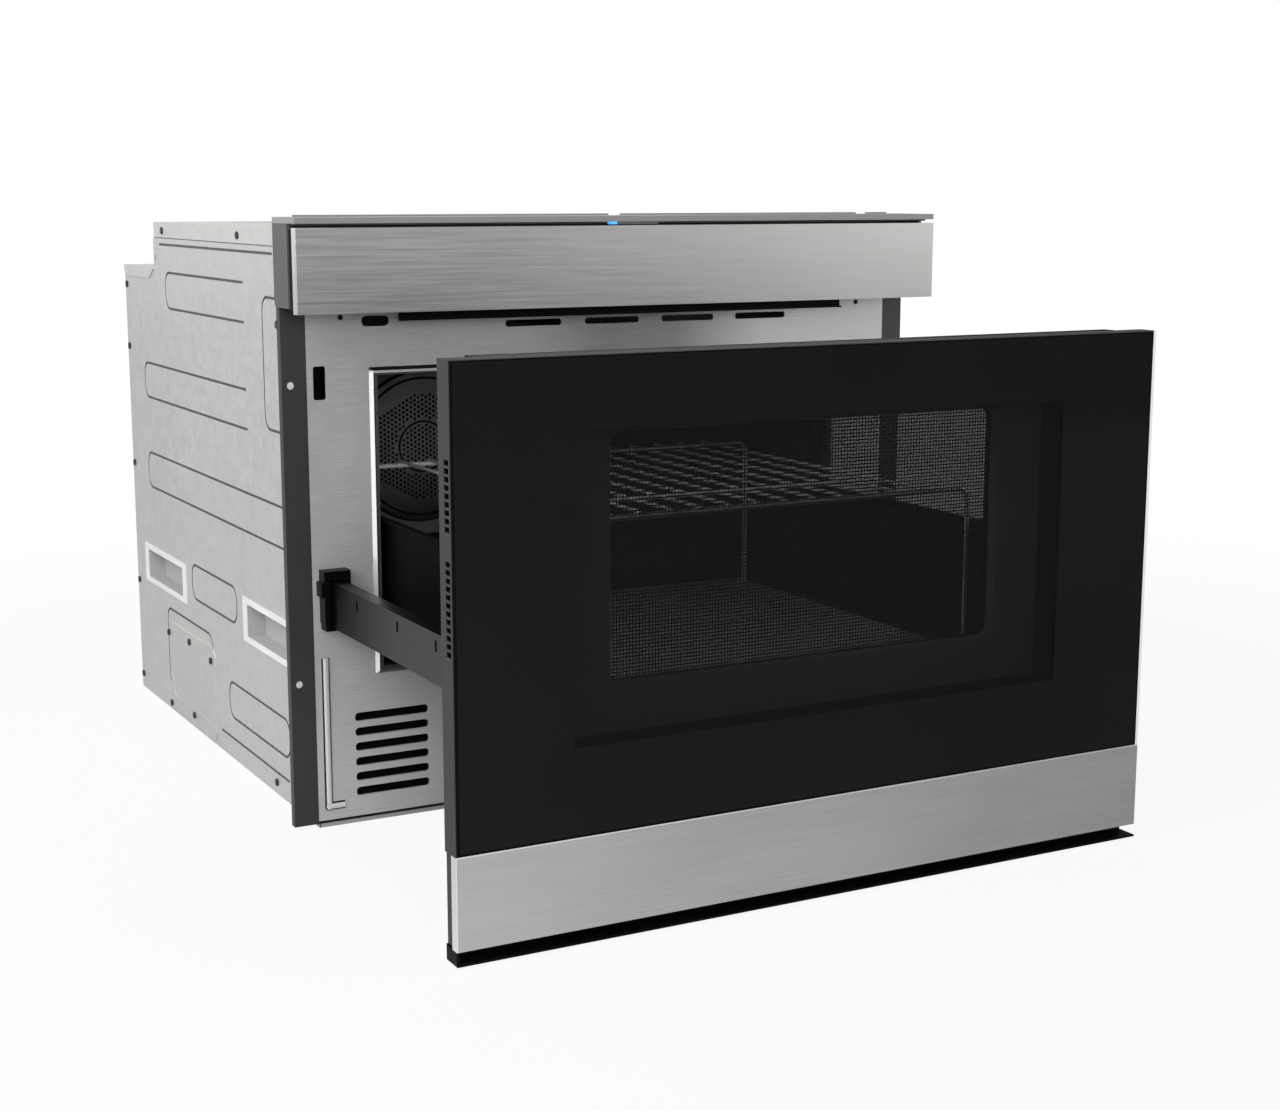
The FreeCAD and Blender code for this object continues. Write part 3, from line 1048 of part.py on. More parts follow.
def drive():
    """Toothed rack on the right drawer rail, and the pinion and gear motor that move the drawer."""
    module, teeth = number("gear_module"), count("pinion_teeth")
    pitch = math.pi * module
    pitch_radius = module * teeth / 2
    pressure = math.radians(20)
    backlash = number("gear_backlash")
    rack_x = number("rail_outside - rail_width - rack_width + 2")
    tip_line = number("rail_low")
    pitch_line = tip_line + module
    middle = number("pinion_place")
    before, after = count("rack_teeth_front"), count("rack_teeth_back")

    half_tooth = (pitch / 2 - backlash) / 2
    slope = math.tan(pressure)
    tip_half = half_tooth - module * slope
    root_half = half_tooth + 1.25 * module * slope
    root_line = pitch_line + 1.25 * module
    points = []
    for step in range(-before, after):
        tooth = middle + (step + 0.5) * pitch
        points += [(tooth - root_half, root_line), (tooth - tip_half, tip_line),
                   (tooth + tip_half, tip_line), (tooth + root_half, root_line)]
    top = tip_line + number("rack_height")
    front, back = middle - before * pitch, middle + after * pitch
    outline = [(front, top), (front, root_line)] + points + [(back, root_line), (back, top)]
    wire = Part.makePolygon([Vector(rack_x, y, z) for y, z in outline + outline[:1]])
    rack = doc.addObject("Part::Feature", "drive_rack")
    rack.Shape = Part.Face(wire).extrude(ALONG_X * number("rack_width"))
    node("drive_rack", rack)

    base = pitch_radius * math.cos(pressure)
    tip, root = pitch_radius + module, pitch_radius - 1.25 * module
    involute = math.tan(pressure) - pressure

    def half_angle(radius):
        """Half the angle of a tooth at a radius; flanks run straight below the base circle."""
        turned = math.acos(min(1, base / radius))
        return (pitch / 2 - backlash) / (2 * pitch_radius) + involute - (math.tan(turned) - turned)

    corners = []
    for tooth in range(teeth):
        centre = math.pi / 2 + 2 * math.pi * tooth / teeth
        flank = [(root, half_angle(base)), (base, half_angle(base)),
                 ((base + tip) / 2, half_angle((base + tip) / 2)), (tip, half_angle(tip))]
        corners += [(radius, centre - angle) for radius, angle in flank]
        corners += [(radius, centre + angle) for radius, angle in reversed(flank)]
    axis_height = pitch_line - pitch_radius
    wheel_x = rack_x + 0.5
    ring = [Vector(wheel_x, middle + r * math.cos(a), axis_height + r * math.sin(a)) for r, a in corners]
    wheel = Part.Face(Part.makePolygon(ring + ring[:1])).extrude(ALONG_X * (number("rack_width") - 1))
    shaft = Part.makeCylinder(number("pinion_shaft"), 14, Vector(wheel_x - 13, middle, axis_height), ALONG_X)
    pinion = doc.addObject("Part::Feature", "drive_pinion")
    pinion.Shape = wheel.fuse(shaft).removeSplitter()
    node("drive_pinion", pinion)

    pinion_height = "(rail_low + gear_module - gear_module * pinion_teeth / 2)"
    box_right = "(rail_outside - rail_width - rack_width + 2 - running_gap)"
    gearbox = block((f"{box_right} - 20", box_right), (FRAME_BACK, "pinion_place + 26"),
                    (f"{pinion_height} - 44", "rail_low - 3"))
    motor = rod("motor_radius", (f"{box_right} - 10", "pinion_place + 26", f"{pinion_height} - 16"),
                66, ALONG_Y)
    bore = rod("pinion_shaft + shaft_fit", (f"{box_right} - 14", "pinion_place", pinion_height), 16, ALONG_X)
    node("drive_gearmotor", cut(fuse([gearbox, motor]), [bore]))


def interlocks():
    """Switch boxes behind the frame, and the hooks on the door that reach into them."""
    boxes, hooks = [], []
    middle = "latch_slot_low + latch_slot_height / 2"
    for side in SIDES.values():
        xs = mirrored(side, "latch_slot_side - 7", "case_width / 2 - case_sheet")
        boxes.append(block(xs, (f"{FRAME_BACK} + 16", f"{FRAME_BACK} + 42"),
                           (f"{middle} - 24", f"{middle} + 24")))
    for name, side in SIDES.items():
        hook = doc.addObject("PartDesign::Body", f"latch_hook_{name}")
        low, high = mirrored(side, "latch_slot_side - 2", "latch_slot_side + 2")
        pad(hook, "side", low, high, polygon([
            (CHOKE_FRONT, f"{middle} - 9"), (f"{CHOKE_FRONT} + 26", f"{middle} - 9"),
            (f"{CHOKE_FRONT} + 30", f"{middle} - 4"), (f"{CHOKE_FRONT} + 30", f"{middle} + 9"),
            (f"{CHOKE_FRONT} + 23", f"{middle} + 9"), (f"{CHOKE_FRONT} + 21", f"{middle} + 3"),
            (f"{CHOKE_FRONT} + 8", f"{middle} + 3"), (CHOKE_FRONT, f"{middle} + 9")]))
        hooks.append(hook)
    node("interlock_switches", group(boxes))
    node("latch_hooks", group(hooks))


# ---------------------------------------------------------------- control strip

HALF_FACE = "face_width / 2"
HOUSING_BACK = FRAME_FRONT
PIVOT = ("-pivot_depth", "pivot_height")
ARM = ("panel_width / 2 + 2", "panel_width / 2 + 5.5")
CAP_SHEET = "3.2"


def control_housing():
    """Fixed tray behind the control strip, with two arms that carry its hinge pins."""
    half = f"{HALF_FACE} - {CAP_SHEET}"
    body = new_body("control_housing")
    pad(body, "side", f"-({half})", half, polygon([
        ("-cap_depth + 1", "housing_low"), (HOUSING_BACK, "housing_low"),
        (HOUSING_BACK, "housing_high"), ("-pivot_depth + 4", "housing_high"),
        ("-pivot_depth + 4", "housing_high - 1.5"), (f"{HOUSING_BACK} - 1.5", "housing_high - 1.5"),
        (f"{HOUSING_BACK} - 1.5", "housing_low + 1.5"), ("-cap_depth + 1", "housing_low + 1.5")]))
    for side in SIDES.values():
        low, high = mirrored(side, *ARM)
        pad(body, "side", low, high, polygon([
            (PIVOT[0], "pivot_height - 1"), ("-cap_depth + 1", "pivot_height - 1"),
            ("-cap_depth + 1", "housing_low"), ("-cap_depth + 8", "housing_low"),
            ("-cap_depth + 8", "pivot_height + 4"), ("-cap_depth + 1", "pivot_height + 1"),
            (PIVOT[0], "pivot_height + 1")]))
        pad(body, "side", low, high, circle(*PIVOT, "pivot_pin + 1.2"))
        pocket(body, "side", low, high, circle(*PIVOT, "pivot_pin + shaft_fit"))


def housing_caps():
    caps = []
    for name, side in SIDES.items():
        body = doc.addObject("PartDesign::Body", f"housing_cap_{name}")
        low, high = mirrored(side, f"{HALF_FACE} - {CAP_SHEET}", HALF_FACE)
        pad(body, "side", low, high, polygon([
            ("-cap_depth", "housing_low"), (-5, "housing_low"), (-1, "housing_low + 1.5"),
            (0, "housing_low + 5"), (0, "housing_high"), ("-cap_depth", "housing_high")]))
        low, high = mirrored(side, "frame_width / 2", f"{HALF_FACE} - {CAP_SHEET}")
        pad(body, "front", -1.5, 0, rectangle(low, high, "housing_low + 5", "housing_high"))
        caps.append(body)
    node("housing_caps", group(caps))


def top_trim():
    plate = block((f"-{HALF_FACE}", HALF_FACE), ("-face_projection", 0),
                  ("housing_high", "housing_high + top_trim_height"))
    gaps = (-303.2, -288, -6, 6, 250, 262, 284)
    ridges = [block((low, high), (-7, -4), ("housing_high + top_trim_height",
                                            "housing_high + top_trim_height + 1.5"))
              for low, high in zip(gaps[1::2], gaps[2::2])]
    node("top_trim", fuse([plate] + ridges))
    for name, low, high in (("sensor_lens", -20.8, 17.5), ("status_led", -27.7, -21.5)):
        node(name, block((low, high), ("-face_projection + 1.5", "-face_projection + 7"),
                         (f"{FASCIA_HIGH} + 1", "housing_high")))


def air_deflector():
    """Black sheet under the control strip that turns the exhaust air forward."""
    half = "deflector_width / 2"
    body = new_body("air_deflector")
    pad(body, "side", f"-({half})", half, polygon([
        ("-deflector_front", "deflector_low"), ("-deflector_front + 5", "deflector_low"),
        ("-deflector_front + 5", "housing_low - 1.5"), ("-deflector_front + 14", "housing_low - 1.5"),
        ("-deflector_front + 14", "housing_low"), ("-deflector_front + 3.5", "housing_low"),
        ("-deflector_front + 3.5", "deflector_low + 1.5"), ("-deflector_front", "deflector_low + 1.5")]))


def control_board():
    board = block((-150, 150), (f"{HOUSING_BACK} - 5", f"{HOUSING_BACK} - 3.4"), (446, 492))
    posts = [rod(2.5, (x, f"{HOUSING_BACK} - 3.4", z), 1.9, ALONG_Y) for x in (-144, 144) for z in (452, 486)]
    chip = block((-20, 20), (f"{HOUSING_BACK} - 8", f"{HOUSING_BACK} - 5"), (460, 480))
    node("control_board", fuse([board, chip] + posts))


def control_panel():
    """Tilting control strip: steel front, moulded body and the touch glass that it hides."""
    front, sheet_back = "-face_projection", "(fascia_sheet - face_projection)"
    fascia = new_body("control_fascia")
    pad(fascia, "front", front, sheet_back, rectangle(f"-{HALF_FACE}", HALF_FACE, "fascia_low", FASCIA_HIGH))
    for side in SIDES.values():
        low, high = mirrored(side, f"{HALF_FACE} - fascia_sheet", HALF_FACE)
        pad(fascia, "front", sheet_back, f"{front} + fascia_return",
            rectangle(low, high, "fascia_low", FASCIA_HIGH))
    pad(fascia, "front", sheet_back, f"{front} + fascia_return",
        rectangle(f"-{HALF_FACE}", HALF_FACE, f"{FASCIA_HIGH} - fascia_sheet", FASCIA_HIGH))

    inside_top = f"{FASCIA_HIGH} - fascia_sheet"
    slope_start = (f"({front} + 3.5)", f"({inside_top} - touch_glass * cos(touch_angle))")
    slope_end = (f"({slope_start[0]} + touch_depth * cos(touch_angle))",
                 f"({slope_start[1]} - touch_depth * sin(touch_angle))")
    body = doc.addObject("PartDesign::Body", "panel_wedge")
    half_inside = f"({HALF_FACE} - fascia_sheet)"
    pad(body, "side", "-panel_width / 2", "panel_width / 2", polygon([
        (sheet_back, "fascia_low + 2.3"), ("-pivot_depth + 6", "fascia_low + 2.3"),
        (slope_end[0], "fascia_low + 18"), slope_end, slope_start, (sheet_back, slope_start[1])]))
    pad(body, "front", sheet_back, f"{sheet_back} + 1.8",
        rectangle(f"-{half_inside}", half_inside, "fascia_low + 1.3", inside_top))
    for side in SIDES.values():
        low, high = mirrored(side, f"{half_inside} - 2.5", half_inside)
        pad(body, "front", sheet_back, "-cap_depth - 1", rectangle(low, high, "fascia_low + 2.8", inside_top))
        low, high = mirrored(side, f"{ARM[0]} - 1", f"{ARM[1]} + 1")
        pocket(body, "front", sheet_back, f"{sheet_back} + 1.8",
               rectangle(low, high, "fascia_low", "pivot_height + 9"))
    pins = [rod("pivot_pin", (f"{side} * (panel_width / 2 - 5)", *PIVOT), 11, ALONG_X * side)
            for side in SIDES.values()]
    node("control_panel_body", fuse([body] + pins))

    raised = [(f"{y} + touch_glass * sin(touch_angle)", f"{z} + touch_glass * cos(touch_angle)")
              for y, z in (slope_end, slope_start)]
    glass = new_body("touch_glass")
    pad(glass, "side", "-panel_width / 2 + 10", "panel_width / 2 - 10",
        polygon([slope_start, slope_end] + raised))


# ---------------------------------------------------------------- door

STRIP_HIGH = "(door_low + door_strip)"
GLASS_BACK = f"({DOOR_FRONT} + door_glass)"
MASK_FRONT = f"({GLASS_BACK} + recess_depth)"
MESH_FRONT = f"({DOOR_FRONT} + mesh_depth)"
MESH = ("-mesh_width / 2", "mesh_width / 2", "mesh_low", "mesh_high")
CLEAR = ("-clear_width / 2", "clear_width / 2", "clear_low", "clear_high")
VENT_GROUPS = ((218.5, 12), (303.5, 9))


def door_frame():
    """Outer frame of the door: walls, back plate, and the recess around the clear glass."""
    body = new_body("door_frame")
    strip_back = f"{DOOR_FRONT} + fascia_sheet"
    low, half_low = "door_low + fascia_sheet", f"{HALF_FACE} - fascia_sheet"
    inner = rectangle(f"door_wall - {HALF_FACE}", f"{HALF_FACE} - door_wall",
                      f"{low} + door_wall", "door_high - 1")
    pad(body, "front", strip_back, DOOR_BACK, polygon([
        (f"-({half_low})", low), (half_low, low), (half_low, STRIP_HIGH), (HALF_FACE, STRIP_HIGH),
        (HALF_FACE, "door_high"), (f"-{HALF_FACE}", "door_high"), (f"-{HALF_FACE}", STRIP_HIGH),
        (f"-({half_low})", STRIP_HIGH)]), inner)
    for side in SIDES.values():
        x0, x1 = mirrored(side, f"{HALF_FACE} - door_wall", HALF_FACE)
        pad(body, "front", DOOR_FRONT, strip_back, rectangle(x0, x1, STRIP_HIGH, "door_high"))
    pad(body, "front", DOOR_FRONT, strip_back,
        rectangle(f"-{HALF_FACE}", HALF_FACE, "door_high - 1", "door_high"))
    pad(body, "front", f"{DOOR_BACK} - 2", DOOR_BACK, inner, rectangle(*CLEAR))
    pad(body, "front", GLASS_BACK, MASK_FRONT, rectangle(*grown(CLEAR, 1.5)), rectangle(*CLEAR))
    for side in SIDES.values():
        x0, x1 = mirrored(side, f"{HALF_FACE} - door_wall", HALF_FACE)
        for first, copies in VENT_GROUPS:
            vent = pocket(body, "side", x0, x1, rectangle(
                f"{DOOR_FRONT} + side_vent_inset", f"{DOOR_FRONT} + side_vent_inset + side_vent_width",
                first, f"{first} + side_vent_height"))
            row_of(body, vent, "side", 1, "side_vent_pitch", copies)


def door_parts():
    glass = block((f"door_wall - {HALF_FACE}", f"{HALF_FACE} - door_wall"), (DOOR_FRONT, GLASS_BACK),
                  (f"{STRIP_HIGH} + running_gap", "door_high - 1"))
    node("door_glass", glass)

    strip = new_body("door_strip")
    strip_back = f"({DOOR_FRONT} + fascia_sheet)"
    pad(strip, "front", DOOR_FRONT, strip_back, rectangle(f"-{HALF_FACE}", HALF_FACE, "door_low", STRIP_HIGH))
    for side in SIDES.values():
        low, high = mirrored(side, f"{HALF_FACE} - fascia_sheet", HALF_FACE)
        pad(strip, "front", strip_back, f"{DOOR_FRONT} + fascia_return",
            rectangle(low, high, "door_low", STRIP_HIGH))
    pad(strip, "front", strip_back, f"{DOOR_FRONT} + fascia_return",
        rectangle(f"-{HALF_FACE}", HALF_FACE, "door_low", "door_low + fascia_sheet"))

    lip = new_body("door_lip")
    pad(lip, "side", f"-{HALF_FACE}", HALF_FACE, polygon([
        (f"{DOOR_FRONT} - 0.6", "lip_low"), (DOOR_BACK, "lip_low"),
        (DOOR_BACK, "door_low + fascia_sheet"), (f"{DOOR_BACK} - lip_sheet", "door_low + fascia_sheet"),
        (f"{DOOR_BACK} - lip_sheet", "lip_low + lip_sheet"),
        (f"{DOOR_FRONT} - 0.6", "lip_low + lip_sheet")]))
    pad(lip, "side", f"-{HALF_FACE}", f"2.2 - {HALF_FACE}",
        rectangle(f"{DOOR_FRONT} + 1", DOOR_BACK, "lip_low", "door_low"))

    wall = "case_sheet"
    back = new_body("door_back")
    box = ("-door_back_width / 2", "door_back_width / 2", "door_back_low", "door_high")
    field = ("-choke_width / 2", "choke_width / 2", "choke_low", "choke_high")
    pad(back, "front", DOOR_BACK, CHOKE_FRONT, rectangle(*box))
    pad(back, "front", CHOKE_FRONT, CHOKE_BACK, rectangle(*field))
    pocket(back, "front", DOOR_BACK, f"{CHOKE_FRONT} - {wall}", rectangle(*grown(box, f"-{wall}")))
    pocket(back, "front", f"{CHOKE_FRONT} - {wall}", f"{CHOKE_BACK} - {wall}",
           rectangle(*grown(field, f"-{wall}")))
    pocket(back, "front", f"{CHOKE_BACK} - {wall}", CHOKE_BACK, rounded(*MESH, "mesh_corner"))

    mask = new_body("window_mask")
    pad(mask, "front", MASK_FRONT, f"{MASK_FRONT} + 1.5",
        rectangle(*grown(CLEAR, 6)), rounded(*MESH, "mesh_corner"))
    pad(mask, "front", f"{MASK_FRONT} + 1.5", MESH_FRONT,
        rounded(*grown(MESH, 1.5), "mesh_corner + 1.5"), rounded(*MESH, "mesh_corner"))
    mesh = new_body("window_mesh")
    pad(mesh, "front", MESH_FRONT, f"{MESH_FRONT} + mesh_sheet", rounded(*grown(MESH, 4), "mesh_corner + 4"))
    pane = new_body("inner_glass")
    pad(pane, "front", f"{CHOKE_BACK} - {wall} - 3", f"{CHOKE_BACK} - {wall}",
        rounded(*grown(MESH, 8), "mesh_corner"))


# ---------------------------------------------------------------- pan and rack

def drawer_pan():
    body = new_body("drawer_pan")
    half = "pan_width / 2"
    outer = rounded(f"-{half}", half, CHOKE_BACK, PAN_BACK, "pan_corner")
    pad(body, "top", "pan_low", "pan_high", outer)
    pad(body, "top", "pan_high - 2", "pan_high",
        rounded(f"-({half} + pan_lip)", f"{half} + pan_lip", CHOKE_BACK, PAN_BACK, "pan_corner"))
    inside = (f"pan_wall - {half}", f"{half} - pan_wall",
              f"{CHOKE_BACK} + pan_wall", f"{PAN_BACK} - pan_wall")
    pocket(body, "top", "pan_low + pan_wall", "pan_high", rounded(*inside, "pan_corner - pan_wall"))
    pocket(body, "top", "pan_low + pan_front_wall", "pan_high",
           rectangle(f"pan_wall - {half}", f"{half} - pan_wall", CHOKE_BACK, f"{CHOKE_BACK} + pan_corner"))
    # The back wall is lower than the sides, so that the fan blows over it.
    pocket(body, "top", "pan_low + pan_back_wall", "pan_high", rectangle(
        f"pan_corner - {half}", f"{half} - pan_corner",
        f"{PAN_BACK} - pan_corner", f"{PAN_BACK} + pan_lip"))
    tray = new_body("ceramic_tray")
    pad(tray, "top", "pan_low + pan_wall", TRAY_TOP, rounded(
        f"{inside[0]} + running_gap", f"{inside[1]} - running_gap",
        f"{inside[2]} + running_gap", f"{inside[3]} - running_gap", "pan_corner - pan_wall"))


def elbow(bend, radius, centre, quarter, name="elbow"):
    """A quarter bend of a rod in the front view, from +X to +Z, turned on by an angle."""
    item = doc.addObject("Part::Torus", name)
    bind(item, Radius1=bend, Radius2=radius)
    item.Angle3 = 90
    item.Placement.Rotation = FreeCAD.Rotation(ALONG_X, 90) * FreeCAD.Rotation(ALONG_Z, quarter)
    return place(item, *centre)


def wire_rack():
    """Tall wire rack: two bent cross bars that stand on their ends, a middle one and a row of bars."""
    half = "(wire_rack_width / 2 - frame_wire_radius)"
    level = "(rack_top - 2 * wire_radius - frame_wire_radius + wire_sink)"
    wires = []
    for y in ("wire_rack_front", "wire_rack_back"):
        wires.append(rod("frame_wire_radius", (f"wire_bend - {half}", y, level),
                         f"2 * ({half} - wire_bend)", ALONG_X))
        for side, quarter in ((SIDES["left"], 90), (SIDES["right"], 0)):
            wires.append(rod("frame_wire_radius", (f"{side} * {half}", y, TRAY_TOP),
                             f"{level} - wire_bend - {TRAY_TOP}"))
            wires.append(elbow("wire_bend", "frame_wire_radius",
                               (f"{side} * ({half} - wire_bend)", y, f"{level} - wire_bend"), quarter))
    reach = "(wire_pitch * (wire_bars - 1) / 2 + frame_wire_radius)"
    wires.append(rod("frame_wire_radius", (f"-{reach}", "wire_rack_front + wire_middle", level),
                     f"2 * {reach}", ALONG_X))
    wires += [rod("wire_radius", (f"wire_pitch * ({step} - (wire_bars - 1) / 2)",
                                  "wire_rack_front - wire_overhang", "rack_top - wire_radius"),
                  "wire_rack_back - wire_rack_front + 2 * wire_overhang", ALONG_Y)
              for step in range(count("wire_bars"))]
    node("wire_rack", fuse(wires))


# ---------------------------------------------------------------- everything, checked and written

def finish():
    doc.recompute()
    for item in doc.Objects:
        assert not {"Invalid", "Error"} & set(item.State), f"{item.Label}: {item.State}"
        if item.TypeId == "PartDesign::Pocket":
            assert item.Shape.Volume < item.BaseFeature.Shape.Volume - 1e-6, f"{item.Label} cuts nothing"
    os.makedirs("parts", exist_ok=True)
    for name, item in nodes.items():
        assert not item.Shape.isNull() and item.Shape.isValid(), name
        item.Shape.exportStep(f"parts/{name}.step")


base_pan()
for side_name, side_sign in SIDES.items():
    side_panel(side_name, side_sign)
for build in (top_cover, rear_panels, handle_cups, access_cover, case_screws,
              front_frame, cavity_rim, trim_strips,
              cavity_liner, fan_cover, convection_pot, convection_fan,
              microwave_feed, inverter_board, blower, terminal_box,
              slides, guide_brackets, drive, interlocks,
              control_housing, housing_caps, top_trim, air_deflector, control_board, control_panel,
              door_frame, door_parts, drawer_pan, wire_rack):
    build()
finish()
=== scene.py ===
"""Looks of the built-in microwave drawer. Lengths are in metres unless a name says otherwise."""
import json
import math

import bmesh
import bpy
from mathutils import Matrix, Vector


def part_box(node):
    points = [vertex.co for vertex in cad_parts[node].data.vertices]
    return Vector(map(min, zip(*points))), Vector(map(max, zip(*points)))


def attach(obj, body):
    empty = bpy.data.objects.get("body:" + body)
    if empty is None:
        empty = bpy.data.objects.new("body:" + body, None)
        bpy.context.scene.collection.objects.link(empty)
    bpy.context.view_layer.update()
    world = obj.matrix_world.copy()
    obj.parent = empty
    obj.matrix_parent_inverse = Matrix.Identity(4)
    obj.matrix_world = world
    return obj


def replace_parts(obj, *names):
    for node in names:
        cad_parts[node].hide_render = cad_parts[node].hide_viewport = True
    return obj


MM = 0.001
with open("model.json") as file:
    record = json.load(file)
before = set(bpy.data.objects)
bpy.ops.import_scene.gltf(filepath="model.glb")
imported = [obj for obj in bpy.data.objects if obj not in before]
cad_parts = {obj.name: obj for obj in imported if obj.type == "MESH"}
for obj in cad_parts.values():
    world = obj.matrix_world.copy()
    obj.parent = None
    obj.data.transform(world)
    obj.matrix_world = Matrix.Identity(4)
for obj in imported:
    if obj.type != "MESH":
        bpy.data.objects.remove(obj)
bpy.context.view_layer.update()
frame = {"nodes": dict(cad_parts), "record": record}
nodes = frame["nodes"]

# ---------------------------------------------------------------- camera

CAMERA_PLACE = Vector((-816.2, -1560.5, 525.9)) * MM
CAMERA_TURN = math.radians(28.435)
CAMERA_DOWN = math.radians(10.252)
CAMERA_ROLL = math.radians(-0.04)
LENS_MM = 56.61
SENSOR_MM = 36
CLIP = (0.05, 60)


def make_camera():
    data = bpy.data.cameras.new("camera")
    data.lens = LENS_MM
    data.sensor_width = SENSOR_MM
    data.sensor_fit = "HORIZONTAL"
    data.clip_start, data.clip_end = CLIP
    camera = bpy.data.objects.new("camera", data)
    bpy.context.collection.objects.link(camera)
    forward = Vector((math.sin(CAMERA_TURN) * math.cos(CAMERA_DOWN),
                      math.cos(CAMERA_TURN) * math.cos(CAMERA_DOWN), -math.sin(CAMERA_DOWN)))
    right = forward.cross(Vector((0, 0, 1))).normalized()
    up = right.cross(forward)
    turned = Matrix.Rotation(CAMERA_ROLL, 3, forward) @ Matrix((right, up, -forward)).transposed()
    camera.matrix_world = Matrix.Translation(CAMERA_PLACE) @ turned.to_4x4()
    bpy.context.scene.camera = camera


# ---------------------------------------------------------------- shader nodes

# most of a noise pattern lies between these levels
NOISE_LOW, NOISE_HIGH = 0.3, 0.7


def calculated(tree, operation, first, second):
    """A maths node on a socket and either another socket or a plain number."""
    node = tree.nodes.new("ShaderNodeMath")
    node.operation = operation
    tree.links.new(first, node.inputs[0])
    if isinstance(second, (int, float)):
        node.inputs[1].default_value = second
    else:
        tree.links.new(second, node.inputs[1])
    return node.outputs[0]


def larger(tree, first, second):
    return calculated(tree, "MAXIMUM", first, second)


def times(tree, first, second):
    return calculated(tree, "MULTIPLY", first, second)


def above(tree, value, limit):
    """1 where a value is above a limit."""
    return calculated(tree, "GREATER_THAN", value, limit)


def below(tree, value, limit):
    """1 where a value is below a limit."""
    return calculated(tree, "LESS_THAN", value, limit)


def within(tree, value, start, end):
    """1 where a value is between two limits."""
    return times(tree, above(tree, value, start), below(tree, value, end))


def ranged(tree, value, low, high, start=NOISE_LOW, end=NOISE_HIGH):
    """A value between start and end, spread over low to high."""
    node = tree.nodes.new("ShaderNodeMapRange")
    node.inputs["From Min"].default_value = start
    node.inputs["From Max"].default_value = end
    node.inputs["To Min"].default_value = low
    node.inputs["To Max"].default_value = high
    tree.links.new(value, node.inputs["Value"])
    return node.outputs["Result"]


def around(tree, value, middle, spread, *limits):
    """A value spread evenly around a middle."""
    return ranged(tree, value, middle - spread, middle + spread, *limits)


def source(tree, kind, socket):
    """A vector that a node without inputs gives."""
    return tree.nodes.new(kind).outputs[socket]


def axes(tree, vector):
    """The X, Y and Z sockets of a vector."""
    split = tree.nodes.new("ShaderNodeSeparateXYZ")
    tree.links.new(vector, split.inputs[0])
    return split.outputs


def position(tree):
    """Where a point lies in the part's frame, as sockets X, Y and Z."""
    return axes(tree, source(tree, "ShaderNodeTexCoord", "Object"))


def plain_shader(tree, kind, level):
    """An even grey background, emission or diffuse shader."""
    shader = tree.nodes.new(kind)
    shader.inputs["Color"].default_value = (level, level, level, 1)
    return shader


def mixed(tree, share, first, second):
    """Two shaders, mixed by the share of the second."""
    mix = tree.nodes.new("ShaderNodeMixShader")
    for value, socket in zip((share, first, second), mix.inputs):
        tree.links.new(value, socket)
    return mix.outputs[0]


# ---------------------------------------------------------------- light and surroundings

LAMPS = (
    # name, place, aim, size, power in watts
    ("key", (-2.6, -2.2, 2.6), (0, 0, 0.25), 3.4, 60),
    ("left", (-2.3, -0.3, 1.7), (-0.2, 0.2, 0.25), 2.2, 53),
    ("front", (-0.95, -2.3, 0.75), (-0.1, 0.3, 0.25), 0.6, 12),
    ("right", (2.6, -2.2, 1.2), (0, -0.2, 0.25), 1.8, 22),
    ("top", (0.0, -0.3, 3.2), (0, -0.1, 0.2), 3.0, 20),
    ("behind", (0.4, 3.2, 1.8), (0, 0.3, 0.25), 3.2, 26),
)
WORLD_LEVEL = 0.44
# how white the surroundings look in gloss: dark straight ahead, bright on the left and front right
GLOSS_AHEAD = 0.06
GLOSS_RIGHT, RIGHT_FADE = 0.93, (0.27, 0.54)
GLOSS_LEFT, LEFT_FADE = 1.0, (-0.22, 0.1)
GLOSS_BEHIND, BEHIND_FADE = 0.25, (-0.3, 0.2)
# how white the surroundings look through the door's window
THROUGH_GLASS = 0.13

FLOOR_HALF = 14
FLOOR_LEVEL = 0.4
FLOOR_WHITE, FLOOR_FADE = 0.86, (0.9, 2.4)
FLOOR_STRENGTH = 1.05
# how white the floor looks in gloss: less to the right of the oven and beside it than in front
FLOOR_GLOSS, FLOOR_SIDES = (0.8, 0.0), (-0.35, 0.4)
FLOOR_DEPTHS = (-0.4, 0.0)


def make_lamps():
    for name, place, aim, size, power in LAMPS:
        data = bpy.data.lights.new(name, "AREA")
        data.shape = "SQUARE"
        data.size = size
        data.energy = power
        lamp = bpy.data.objects.new(name, data)
        bpy.context.collection.objects.link(lamp)
        lamp.location = place
        lamp.rotation_mode = "QUATERNION"
        lamp.rotation_quaternion = (Vector(aim) - Vector(place)).to_track_quat("-Z", "Y")


def seen_rays(tree):
    """Which rays are straight, how white they are (less through panes), which come off gloss."""
    path = tree.nodes.new("ShaderNodeLightPath")
    straight = larger(tree, path.outputs["Is Camera Ray"], path.outputs["Is Transmission Ray"])
    panes = ranged(tree, path.outputs["Transparent Depth"], 1, THROUGH_GLASS, 0, 1)
    return straight, times(tree, straight, panes), path.outputs["Is Glossy Ray"]


